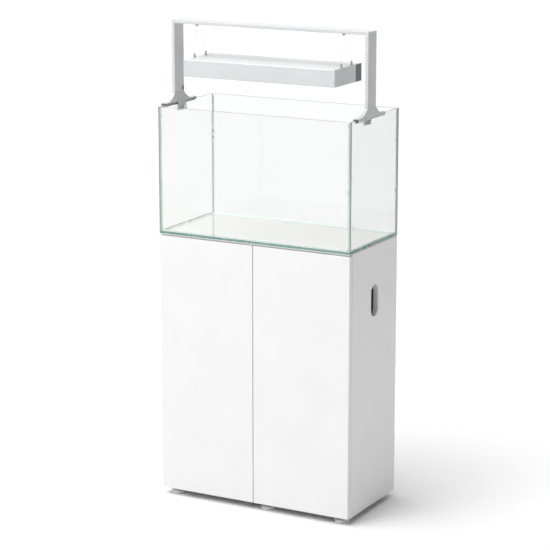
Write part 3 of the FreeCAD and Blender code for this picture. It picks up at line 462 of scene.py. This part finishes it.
def dress(finish, *nodes):
    """Gives CAD nodes their finish."""
    for node in nodes:
        mesh = NODES[node].data
        if mesh.materials:
            for i in range(len(mesh.materials)):
                mesh.materials[i] = finish
        else:
            mesh.materials.append(finish)


# ---------------------------------------------------------------- cabinet

SIDES = (("left", -1), ("right", 1))


def side_panels():
    slot_y, slot_z = 8 * MM, 614 * MM
    half_width, half_height = 45 * MM / 2, 91 * MM / 2
    slot = rounded(
        rectangle(slot_y - half_width, slot_z - half_height, slot_y + half_width, slot_z + half_height),
        half_width - 0.01 * MM, 14,
    )
    for side, _ in SIDES:
        low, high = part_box(side + "_side_panel")
        bm = bmesh.new()
        outline = rectangle(low.y, low.z, high.y, high.z)
        plate(bm, [outline, slot], "X", low.x, high.x, 0.8 * MM, edge=1)
        show(side + "_side_board", bm, "cabinet", [BOARD, BOARD_EDGE],
             [side + "_side_panel"])


def mat_sheet():
    low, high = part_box("levelling_mat")
    bm = bmesh.new()
    plate(bm, [rounded(rectangle(low.x, low.y, high.x, high.y), 2 * MM)], "Z", low.z,
          high.z - 0.3 * MM, 1.2 * MM, 4)
    show("foam_levelling_mat", bm, "cabinet", [FOAM], ["levelling_mat"])


def feet():
    for row in ("front", "rear"):
        for place in ("left", "middle", "right"):
            node = f"{row}_{place}_foot"
            low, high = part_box(node)
            x, y = (low.x + high.x) / 2, (low.y + high.y) / 2
            r = (high.x - low.x) / 2
            bm = bmesh.new()
            lathe(bm, [
                (0, low.z), (r - 2.2 * MM, low.z), (r - 0.6 * MM, 0.7 * MM), (r, 2.2 * MM),
                (r, 4.8 * MM), (r - 0.7 * MM, 5.6 * MM), (r - 0.7 * MM, 6.0 * MM),
                (r - 1.2 * MM, 7.6 * MM), (r - 3 * MM, 8.6 * MM), (r - 6 * MM, 9 * MM),
                (10.6 * MM, 9.2 * MM), (9.4 * MM, 9.8 * MM, 0.9 * MM), (9 * MM, 10.6 * MM, 0.9 * MM),
                (9 * MM, 12.4 * MM, 0.9 * MM), (8.3 * MM, 13 * MM, 0.5 * MM), (4.4 * MM, 13 * MM),
                (4.4 * MM, 12.2 * MM), (0, 12.2 * MM),
            ], (x, y, 0), turns=72, knurls=12)
            thread(bm, 4 * MM, 0.5 * MM, 1.25 * MM, (x, y), 12 * MM, high.z, mat=1)
            show(node + "_ribbed", bm, node, [WHITE_PLASTIC, STEEL], [node],
                 sharp=50)


def pan_head(bm, spot, axis, sign, radius):
    """A small pan-head screw with a hollow in the middle, its head standing off along the axis."""
    lathe(bm, [
        (radius, 0), (radius, 0.35 * radius), (radius * 0.8, 0.7 * radius),
        (radius * 0.45, 0.82 * radius), (radius * 0.12, 0.84 * radius),
        (0, 0.55 * radius),
    ], spot, axis, sign, 20)


def hinge_screws():
    """The screws through the hinges' mounting plates and through the cups' flanges."""
    levels = (120 * MM, 668 * MM)
    carcass_front, plate_inset, plate_half = -132 * MM, 28 * MM, 9 * MM
    plate_board, plate_pitch, flange_pitch = 2.5 * MM, 18 * MM, 22.5 * MM
    y = carcass_front + plate_inset + plate_half
    for side, sign in SIDES:
        low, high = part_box(side + "_hinge_arms")
        cups_low, cups_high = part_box(side + "_hinge_cups")
        arm_bm, cup_bm = bmesh.new(), bmesh.new()
        wall = low.x if sign < 0 else high.x
        plate_x = wall - sign * plate_board
        cup_x = (cups_low.x + cups_high.x) / 2
        for z in levels:
            for step in (-1, 1):
                pan_head(arm_bm, (plate_x, y, z + step * plate_pitch), "X", -sign, 3.6 * MM)
                pan_head(cup_bm, (cup_x, cups_high.y, z + step * flange_pitch), "Y", 1, 3.2 * MM)
        show(side + "_hinge_plate_screws", arm_bm, "cabinet", [STEEL])
        show(side + "_hinge_cup_screws", cup_bm, side + "_door", [STEEL])


# ---------------------------------------------------------------- tank

def panes():
    """The tank's glass: clear faces with ground edges, a little air between the panes and their base."""
    air, lift, round_off = 0.6 * MM, 0.4 * MM, 0.5 * MM
    for name in ("front", "back", "left", "right"):
        node = f"tank_{name}_pane"
        low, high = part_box(node)
        low.z += lift
        bm = bmesh.new()
        if name in ("left", "right"):
            outline = rectangle(low.y + air, low.z, high.y - air, high.z)
            plate(bm, [outline], "X", low.x, high.x, round_off, 2, edge=1)
        else:
            outline = rectangle(low.x, low.z, high.x, high.z)
            plate(bm, [outline], "Y", low.y, high.y, round_off, 2, edge=1)
        show(f"{name}_glass", bm, "cabinet", [GLASS, GLASS_EDGE], [node],
             shadow=False)
    low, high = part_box("tank_base")
    bm = bmesh.new()
    plate(bm, [rectangle(low.x, low.y, high.x, high.y)], "Z", low.z, high.z, round_off, 2, edge=1)
    show("base_glass", bm, "cabinet", [GLASS, BASE_EDGE], ["tank_base"],
         shadow=False)


def bead(bm, corner, run, toward_a, toward_b, leg, sag=0.38, steps=6):
    """A fillet of sealant along an inner corner, its face hollow."""
    corner, run = Vector(corner), Vector(run)
    a, b = Vector(toward_a), Vector(toward_b)
    section = [Vector((0, 0, 0))]
    for k in range(steps + 1):
        t = k / steps
        straight = a * (leg * (1 - t)) + b * (leg * t)
        pull = sag * leg * math.sin(math.pi * t) * 0.5
        section.append(straight - (a + b).normalized() * pull)
    loft(bm, [[corner + p for p in section], [corner + run + p for p in section]])


def seams():
    low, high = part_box("silicone_seams")
    gap, leg = 0.15 * MM, 4 * MM
    x0, x1, y0, y1 = low.x + gap, high.x - gap, low.y + gap, high.y - gap
    z0, z1 = low.z + gap, high.z - 0.6 * MM
    bm = bmesh.new()
    for x, a in ((x0, (1, 0, 0)), (x1, (-1, 0, 0))):
        for y, b in ((y0, (0, 1, 0)), (y1, (0, -1, 0))):
            bead(bm, (x, y, z0), (0, 0, z1 - z0), a, b, leg)
    up = (0, 0, 1)
    for y, b in ((y0, (0, 1, 0)), (y1, (0, -1, 0))):
        bead(bm, (x0, y, z0), (x1 - x0, 0, 0), b, up, leg)
    for x, a in ((x0, (1, 0, 0)), (x1, (-1, 0, 0))):
        bead(bm, (x, y0, z0), (0, y1 - y0, 0), a, up, leg)
    show("silicone_beads", bm, "cabinet", [SILICONE], ["silicone_seams"],
         shadow=False)


# ---------------------------------------------------------------- arch

def arch():
    low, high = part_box("stand_top_bar")
    bm = bmesh.new()
    corner = 3 * MM
    outline = rounded(rectangle(low.x, low.z, high.x, high.z), [0.3 * MM, 0.3 * MM, corner, corner])
    plate(bm, [outline], "Y", low.y, high.y, 0.6 * MM)
    show("arch_bar", bm, "stand", [ALUMINIUM_X], ["stand_top_bar"])
    for side, _ in SIDES:
        low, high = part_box(side + "_stand_leg")
        bm = bmesh.new()
        outline = rectangle(low.y, low.z, high.y, high.z)
        plate(bm, [outline], "X", low.x, high.x, 0.6 * MM)
        show(side + "_arch_leg", bm, "stand", [ALUMINIUM_Z],
             [side + "_stand_leg"])


def countersunk_screws():
    low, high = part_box("corner_screws")
    bm = bmesh.new()
    top = high.z + 0.02 * MM
    r = 3.8 * MM
    for x in (low.x + r, high.x - r):
        for y in (low.y + r, high.y - r):
            lathe(bm, [
                (0, top - 2.2 * MM), (1.25 * MM, top - 2.2 * MM), (1.25 * MM, top - 0.15 * MM),
                (1.45 * MM, top), (r - 0.3 * MM, top), (r, top - 0.25 * MM),
                (2 * MM, top - 2.6 * MM), (2 * MM, low.z + 0.4 * MM), (1.6 * MM, low.z),
                (0, low.z),
            ], (x, y, 0), turns=36)
    show("arch_countersunk_screws", bm, "stand", [STEEL], ["corner_screws"])


def gusset_height(away, crown):
    """How high the foot stands above the rim, this far along it from the leg's middle."""
    near, far, top, low, radius = 25 * MM, 80 * MM, 28 * MM, 3 * MM, 60 * MM
    if away <= near:
        return top
    a, b = Vector((near, top)), Vector((far, low))
    chord = b - a
    rise = math.sqrt(radius ** 2 - (chord.length / 2) ** 2)
    centre = (a + b) / 2 + Vector((-chord.y, chord.x)).normalized() * rise
    if away >= min(far, centre.x):
        return crown
    return max(crown, centre.y - math.sqrt(radius ** 2 - (away - centre.x) ** 2))


def rim_feet():
    """Cast feet that flare along the rim, each with a clamp jaw on the tank's inside."""
    flange, crown, tallest = 5 * MM, 5 * MM, 28 * MM
    out, pane_out, inner = 307 * MM, 301.3 * MM, 292.7 * MM
    tip_length, tip_drop, tip_draw = 6 * MM, 1.6 * MM, 1.2 * MM
    steps = 44
    for side, sign in SIDES:
        low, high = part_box(side + "_rim_foot")
        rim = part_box("tank_left_pane")[1].z
        middle = (low.y + high.y) / 2
        half = (high.y - low.y) / 2 - 5 * MM
        sections = []
        for k in range(steps + 1):
            along = -half + 2 * half * k / steps
            away = abs(along)
            top = gusset_height(away, crown)
            grown = (top - crown) / (tallest - crown)
            tip = min(1.0, (half - away) / tip_length)
            lift = tip_drop * (1 - tip) ** 2
            inside = inner + tip_draw * (1 - tip) ** 2
            lean = 298 * MM - (1 - grown) * 2.0 * MM
            hollow = min(5 * MM, (top - crown) * 0.6)
            profile = [
                (out, -flange), (out, top - lift), (out - 0.3 * MM, top - lift),
                (lean + 0.4 * MM * (1 - grown), top - lift), (lean, crown - lift + hollow),
                (lean - hollow * 0.3, crown - lift + hollow * 0.3),
                (lean - hollow, crown - lift), (inside, crown - lift), (inside, 1 * MM),
                (pane_out, 1 * MM), (pane_out, -flange),
            ]
            sections.append([Vector((u * sign, middle + along, rim + w)) for u, w in profile])
        bm = bmesh.new()
        loft(bm, sections)
        jaw = rounded(
            rectangle(middle - 20 * MM, rim - 22 * MM, middle + 20 * MM, rim + 3.5 * MM),
            [6 * MM, 6 * MM, 1.5 * MM, 1.5 * MM],
        )
        bore = circle(middle, rim - 15 * MM, 2.9 * MM)
        ends = sorted((sign * inner, sign * (inner - 5 * MM)))
        plate(bm, [jaw, bore], "X", ends[0], ends[1], 0.8 * MM)
        show(side + "_cast_rim_foot", bm, "stand", [CAST],
             [side + "_rim_foot"], bevel=0.35 * MM, sharp=30)


def liners():
    """Soft strips between the rim feet and the glass, and the dark tips that close the feet's ends."""
    tip_shape = [(along * MM, drop * MM) for along, drop in
                 ((0, 2.2), (0.5, 1.5), (1.5, 0.8), (3, 0.3), (4.8, 0))]
    bm = bmesh.new()
    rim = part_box("tank_left_pane")[1].z
    low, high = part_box("rim_liners")
    for _, sign in SIDES:
        sections = []
        for y in (low.y, low.y + 1.5 * MM, high.y - 1.5 * MM, high.y):
            tip = 0.5 * MM if y in (low.y, high.y) else 0.0
            profile = [
                (301.25 * MM, 0.95 * MM), (301.25 * MM, -5.2 * MM + tip),
                (302.6 * MM, -5.3 * MM + tip), (302.6 * MM, -6.0 * MM + tip),
                (300.4 * MM, -6.0 * MM + tip), (300.3 * MM, 0.05 * MM), (292.4 * MM, 0.05 * MM),
                (292.2 * MM, 1.6 * MM), (292.65 * MM, 1.7 * MM), (292.75 * MM, 0.95 * MM),
            ]
            sections.append([Vector((u * sign, y, rim + w)) for u, w in profile])
        loft(bm, sections)
        for end, inward in ((low.y, 1), (high.y, -1)):
            caps = []
            for along, drop in tip_shape:
                outline = rounded([
                    (306.6 * MM - drop, -4.8 * MM), (306.8 * MM - drop, 4.8 * MM - drop),
                    (293.2 * MM + drop, 4.8 * MM - drop), (293.0 * MM + drop, 1.1 * MM),
                    (301.4 * MM, 1.1 * MM), (301.4 * MM, -4.8 * MM),
                ], [0.8 * MM, 1 * MM, 1 * MM, 0, 0, 0.8 * MM], 3)
                y = end + along * inward
                caps.append([Vector((p.x * sign, y, rim + p.y)) for p in outline])
            loft(bm, caps, 1)
    show("rubber_rim_liners", bm, "stand", [RUBBER, DARK_RUBBER],
         ["rim_liners"], bevel=0.15 * MM, sharp=30)


def clamps():
    for side, sign in SIDES:
        low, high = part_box(side + "_clamp_screw")
        y, z = (low.y + high.y) / 2, (low.z + high.z) / 2
        length = high.x - low.x
        start = low.x if sign < 0 else high.x
        bm = bmesh.new()
        shank = length - 6 * MM
        lathe(bm, [
            (0, 0), (1.6 * MM, 0), (2.4 * MM, 0.8 * MM), (2.5 * MM, shank - 1 * MM),
            (2.5 * MM, shank), (5.2 * MM, shank), (6 * MM, shank + 0.7 * MM, 0.5 * MM),
            (6 * MM, length - 0.8 * MM, 0.5 * MM), (5.2 * MM, length),
            (3.0 * MM, length), (2.6 * MM, length - 0.5 * MM), (0, length - 0.5 * MM),
        ], (start, y, z), "X", -sign, 72, 24)
        show(side + "_knurled_clamp_screw", bm, side + "_clamp", [STEEL],
             [side + "_clamp_screw"], sharp=50)


def clip():
    low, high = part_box("cord_clip")
    y, z = (low.y + high.y) / 2, (low.z + high.z) / 2
    w, h = (high.y - low.y) / 2, (high.z - low.z) / 2
    bm = bmesh.new()
    outline = rounded(rectangle(y - w, z - h, y + w, z + h), w - 0.01 * MM, 8)
    plate(bm, [outline], "X", low.x, high.x, 0.7 * MM)
    show("oval_cord_clip", bm, "stand", [DARK_CAP], ["cord_clip"])


# ---------------------------------------------------------------- lamp and its wires

def housing():
    low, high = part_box("lamp_housing")
    middle = (low.y + high.y) / 2
    half, tall = (high.y - low.y) / 2, high.z - low.z
    wall, lip, rail, rail_top = 2 * MM, 5 * MM, 5 * MM, 20 * MM
    right = [(half - lip - wall, 0), (half, 0), (half, tall)]
    inside = [
        (half - wall, tall - wall), (half - wall, rail_top), (half - wall - rail, rail_top),
        (half - wall - rail, rail_top - wall), (half - wall, rail_top - wall),
        (half - wall, wall), (half - lip - wall, wall),
    ]
    left, inside_left = ([(-u, v) for u, v in reversed(points)] for points in (right, inside))
    corners = right + left + inside_left + inside
    radii = [0, 2.2 * MM, 2.2 * MM, 2.2 * MM, 2.2 * MM, 0] + [0] * 14
    outline = [(middle + p.x, low.z + p.y) for p in rounded(corners, radii)]
    bm = bmesh.new()
    plate(bm, [outline], "X", low.x, high.x, 0.25 * MM, 2)
    show("lamp_profile", bm, "lamp", [ALUMINIUM_X], ["lamp_housing"])


def end_caps():
    for side, sign in SIDES:
        node = f"lamp_{side}_end_cap"
        low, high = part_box(node)
        outer = high.x if sign > 0 else low.x
        inner = low.x if sign > 0 else high.x
        face = outer - sign * 2.5 * MM
        # The rear 36 mm of each cap is a separate plate in the dark moulding: painted shade standing in
        # for the shading at the cap's rear, not a part of its own.
        painted_shade_start = high.y - 36 * MM
        r = 2.2 * MM
        bm = bmesh.new()
        front = rounded(rectangle(low.y, low.z, painted_shade_start, high.z), [r, 0.2 * MM, 0.2 * MM, r])
        rear = rounded(rectangle(painted_shade_start + 0.3 * MM, low.z, high.y, high.z),
                       [0.2 * MM, r, r, 0.2 * MM])
        near, far = sorted((face, outer))
        plate(bm, [front], "X", near, far, 0.7 * MM)
        near, far = sorted((face, outer - sign * 0.25 * MM))
        plate(bm, [rear], "X", near, far, 0.7 * MM, face=1, edge=1)
        if abs(inner - face) > 0.1 * MM:
            near, far = sorted((inner, face))
            plug = rounded(
                rectangle(low.y + 3 * MM, low.z + 3 * MM, high.y - 3 * MM, high.z - 3 * MM), 2 * MM)
            core = rounded(
                rectangle(low.y + 6 * MM, low.z + 6 * MM, high.y - 6 * MM, high.z - 6 * MM), 2 * MM)
            plate(bm, [plug, core], "X", near, far, 0.3 * MM, 2)
        show(f"{side}_lamp_cap", bm, "lamp", [CAP_METAL, DARK_CAP], [node])


def leds():
    low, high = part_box("led_chips")
    side = 5 * MM
    pitch = 36 * MM
    columns = round((high.x - low.x - side) / pitch) + 1
    rows = round((high.y - low.y - side) / pitch) + 1
    bm = bmesh.new()
    for i in range(columns):
        for j in range(rows):
            x = low.x + side / 2 + i * pitch
            y = low.y + side / 2 + j * pitch
            outline = rounded(
                rectangle(x - side / 2, y - side / 2, x + side / 2, y + side / 2), 0.5 * MM, 3)
            plate(bm, [outline], "Z", low.z + 0.5 * MM, high.z, 0.15 * MM, 2)
            dome = [(1.9 * MM * math.cos(a), -0.5 * MM * math.sin(a))
                    for a in [math.pi / 2 * k / 5 for k in range(5)]] + [(0, -0.5 * MM)]
            lathe(bm, dome, (x, y, low.z + 0.5 * MM), turns=20, mat=1)
    show("led_packages", bm, "lamp", [WHITE_PLASTIC, LED_RESIN], ["led_chips"])


def diffuser():
    low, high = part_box("lamp_diffuser")
    bm = bmesh.new()
    plate(bm, [rectangle(low.x, low.y, high.x, high.y)], "Z", low.z, high.z, 0.4 * MM)
    show("opal_lamp_diffuser", bm, "lamp", [OPAL], ["lamp_diffuser"])


ARCH_Y = -37 * MM


def wire_spots():
    """Where each wire leaves its anchor under the arch and enters its gripper on the lamp."""
    anchors_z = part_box("wire_anchors")[0].z
    grippers_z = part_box("wire_grippers")[1].z
    for sign in (-1, 1):
        for step in (-1, 1):
            x = 229 * MM * sign
            yield (
                Vector((x, ARCH_Y + 17 * MM * step, anchors_z)),
                Vector((x, ARCH_Y + 31 * MM * step, grippers_z)),
            )


def wire_fittings():
    anchors, grips = bmesh.new(), bmesh.new()
    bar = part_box("wire_anchors")[1].z
    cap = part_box("lamp_housing")[1].z
    for top, bottom in wire_spots():
        tall = bar - top.z
        lathe(anchors, [
            (0, 0), (0.7 * MM, 0), (1.9 * MM, 0.3 * MM), (2.6 * MM, 1.2 * MM),
            (3.4 * MM, 1.6 * MM, 0.3 * MM), (4 * MM, 2.0 * MM, 0.3 * MM),
            (4 * MM, tall - 0.5 * MM, 0.3 * MM), (3.6 * MM, tall), (0, tall),
        ], top, turns=60, knurls=20)
        rise = bottom.z - cap
        spot = (bottom.x, bottom.y, cap)
        lathe(grips, [
            (0, -4 * MM), (3.2 * MM, -4 * MM), (3.2 * MM, -2.05 * MM), (2.5 * MM, -2 * MM),
            (2.5 * MM, 0), (4 * MM, 0), (4 * MM, 0.4 * MM), (4 * MM, 2.0 * MM, 0.3 * MM),
            (3.6 * MM, 2.5 * MM), (2.6 * MM, 2.6 * MM), (2.6 * MM, 4 * MM, 0.2 * MM),
            (2.6 * MM, rise - 3.2 * MM, 0.2 * MM), (2.2 * MM, rise - 2.8 * MM),
            (2.2 * MM, rise - 2.4 * MM), (2.5 * MM, rise - 2.0 * MM),
            (2.3 * MM, rise - 0.6 * MM), (1.3 * MM, rise), (0, rise),
        ], spot, turns=48, knurls=16)
    show("knurled_wire_anchors", anchors, "stand", [ZINC], ["wire_anchors"],
         sharp=50)
    show("knurled_wire_grippers", grips, "lamp", [ZINC], ["wire_grippers"],
         sharp=50)


def wires():
    """Four stranded wires, slanting from the arch to the lamp, each cut into six pieces along its length.
    """
    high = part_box("wire_anchors")[0].z
    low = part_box("wire_grippers")[1].z
    sunk_top, sunk_bottom = 2 * MM / (high - low), 4 * MM / (high - low)
    cuts = (0, 0.07, 0.2, 0.5, 0.8, 0.93, 1)
    for part, (first, last) in enumerate(zip(cuts, cuts[1:]), 1):
        bm = bmesh.new()
        above = first - (sunk_top if first == 0 else 0)
        below = last + (sunk_bottom if last == 1 else 0)
        for top, bottom in wire_spots():
            loft(bm, wire_rings(top, bottom, above, below))
        obj = show(f"stranded_suspension_wires_{part}", bm, None, [WIRE],
                   ["suspension_wires"] if first == 0 else (), sharp=60)
        for modifier in list(obj.modifiers):
            obj.modifiers.remove(modifier)
        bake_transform(obj)


def wire_rings(top, bottom, above, below):
    """Outlines of one wire of six strands between two shares of the way from top to bottom."""
    turns, strands, lay, pitch = 24, 6, 9 * MM, 1.1 * MM
    radius = 0.3 * MM
    length = (bottom - top).length
    steps = math.ceil(length * (below - above) / pitch)
    rings = []
    for k in range(steps + 1):
        share = above + (below - above) * k / steps
        spot = top.lerp(bottom, share)
        twist = math.tau * length * share / lay
        ring = []
        for i in range(turns):
            angle = math.tau * i / turns
            r = radius * (0.86 + 0.14 * abs(math.cos(strands / 2 * (angle - twist))))
            ring.append(spot + Vector((r * math.cos(angle), r * math.sin(angle), 0)))
        rings.append(ring)
    return rings


def gland():
    low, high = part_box("cord_gland")
    x, z = (low.x + high.x) / 2, (low.z + high.z) / 2
    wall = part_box("lamp_housing")[1].y
    profile = [(3 * MM, low.y - wall), (4 * MM, low.y - wall), (4 * MM, 0), (6 * MM, 0),
               (6 * MM, 2 * MM)]
    reach = high.y - wall
    ribs = 3
    for k in range(ribs):
        y = 2 * MM + (reach - 3 * MM) * k / ribs
        step = (reach - 3 * MM) / ribs
        r = (5.6 - 0.5 * k) * MM
        profile += [(r - 0.8 * MM, y + 0.1 * step), (r - 0.8 * MM, y + 0.4 * step),
                    (r, y + 0.5 * step), (r, y + 0.95 * step)]
    profile += [(3.9 * MM, reach - 0.4 * MM), (3.5 * MM, reach), (3 * MM, reach),
                (3 * MM, low.y - wall + 0.01 * MM)]
    bm = bmesh.new()
    lathe(bm, profile, (x, wall, z), "Y", 1, 40)
    show("ribbed_cord_gland", bm, "lamp", [GREY_PLASTIC], ["cord_gland"], sharp=50)


# ---------------------------------------------------------------- scene

def stage():
    """A plain pale floor."""
    bm = bmesh.new()
    reach = 40.0
    corners = [bm.verts.new((x * reach, y * reach, 0)) for x, y in ((-1, -1), (1, -1), (1, 1), (-1, 1))]
    bm.faces.new(corners)
    mesh = bpy.data.meshes.new("studio_floor")
    bm.to_mesh(mesh)
    bm.free()
    finish = surface("studio_floor", (0.765, 0.765, 0.765), (0.785, 0.785, 0.785), (0.8, 0.9), patch=0.4,
                     fine=30.0, bump=0.02, Specular_IOR_Level=0.0)
    mesh.materials.append(finish)
    floor = bpy.data.objects.new("studio_floor", mesh)
    bpy.context.scene.collection.objects.link(floor)


def sun(name, towards, strength, softness):
    light = bpy.data.lights.new(name, "SUN")
    light.energy = strength
    light.angle = math.radians(softness)
    lamp = bpy.data.objects.new(name, light)
    lamp.rotation_mode = "QUATERNION"
    lamp.rotation_quaternion = Vector(towards).to_track_quat("-Z", "Y")
    bpy.context.scene.collection.objects.link(lamp)


def softbox(name, place, target, side, power):
    light = bpy.data.lights.new(name, "AREA")
    light.energy = power
    light.size = side
    lamp = bpy.data.objects.new(name, light)
    lamp.location = place
    lamp.rotation_mode = "QUATERNION"
    lamp.rotation_quaternion = (Vector(target) - Vector(place)).to_track_quat("-Z", "Y")
    bpy.context.scene.collection.objects.link(lamp)


def flag():
    """A dark board behind the set on the right; only reflections in glass and metal show it."""
    bm = bmesh.new()
    near, far, base, top = (0.95, 2.0), (2.0, 1.35), 0.02, 1.5
    spots = ((*near, base), (*far, base), (*far, top), (*near, top))
    bm.faces.new([bm.verts.new(spot) for spot in spots])
    mesh = bpy.data.meshes.new("studio_flag")
    bm.to_mesh(mesh)
    bm.free()
    mesh.materials.append(surface("studio_flag", (0.1, 0.1, 0.1), (0.12, 0.12, 0.12), (0.8, 0.9)))
    board = bpy.data.objects.new("studio_flag", mesh)
    board.visible_camera = False
    board.visible_shadow = False
    board.visible_transmission = False
    board.visible_diffuse = False
    bpy.context.scene.collection.objects.link(board)


def lights():
    """A sky that is dim in front and bright behind, a wide soft sun and a softbox before the doors."""
    dim, bright = 0.17, 1.0
    dim_until, bright_from = 0.1, 0.75
    world = bpy.data.worlds.new("studio")
    world.use_nodes = True
    tree = world.node_tree
    sky = tree.nodes["Background"]
    where = tree.nodes.new("ShaderNodeTexCoord")
    parts = tree.nodes.new("ShaderNodeSeparateXYZ")
    tree.links.new(where.outputs["Generated"], parts.inputs["Vector"])
    glow = spread(tree, parts.outputs["Y"], dim, bright, dim_until, bright_from)
    tree.links.new(glow, sky.inputs["Strength"])
    sky.inputs["Color"].default_value = (1.0, 1.0, 1.0, 1.0)
    bpy.context.scene.world = world
    sun("overhead", towards=(0.3, 0.3, -1), strength=3.25, softness=60)
    softbox("front_key", place=(-1.3, -2.9, 2.7), target=(0, -0.15, 1.05), side=1.8, power=44)
    flag()


def camera():
    azimuth, elevation = math.radians(28.5), math.radians(13.21)
    aim, distance = Vector((-0.0106, 0, 0.6531)), 6.0
    away = Vector((
        math.sin(azimuth) * math.cos(elevation),
        -math.cos(azimuth) * math.cos(elevation),
        math.sin(elevation),
    ))
    data = bpy.data.cameras.new("camera")
    data.sensor_width = 36
    data.lens = 138.4
    data.clip_end = 200
    view = bpy.data.objects.new("camera", data)
    view.location = aim + away * distance
    view.rotation_mode = "QUATERNION"
    view.rotation_quaternion = (-away).to_track_quat("-Z", "Y")
    bpy.context.scene.collection.objects.link(view)
    bpy.context.scene.camera = view


dress(BOARD, "bottom_panel", "top_panel", "back_panel", "shelf", "left_door", "right_door")
dress(STEEL, "shelf_pins", "cam_bolts", "left_hinge_arms", "right_hinge_arms", "left_hinge_cups",
      "right_hinge_cups", "left_strike_plate", "right_strike_plate", "end_cap_screws")
dress(ZINC, "cam_locks")
dress(BEECH, "back_dowels")
dress(GREY_PLASTIC, "foot_sockets")
dress(WHITE_PLASTIC, "left_latch_housing", "right_latch_housing")
dress(GREY_PLASTIC, "left_latch_plunger", "right_latch_plunger")
dress(SILICONE, "left_door_bumpers", "right_door_bumpers")
dress(SOLDER_MASK, "led_board")

side_panels()
mat_sheet()
feet()
hinge_screws()
panes()
seams()
arch()
countersunk_screws()
rim_feet()
liners()
clamps()
clip()
housing()
end_caps()
leds()
diffuser()
wire_fittings()
wires()
gland()
stage()
lights()
camera()
bpy.context.scene.view_settings.view_transform = "Standard"
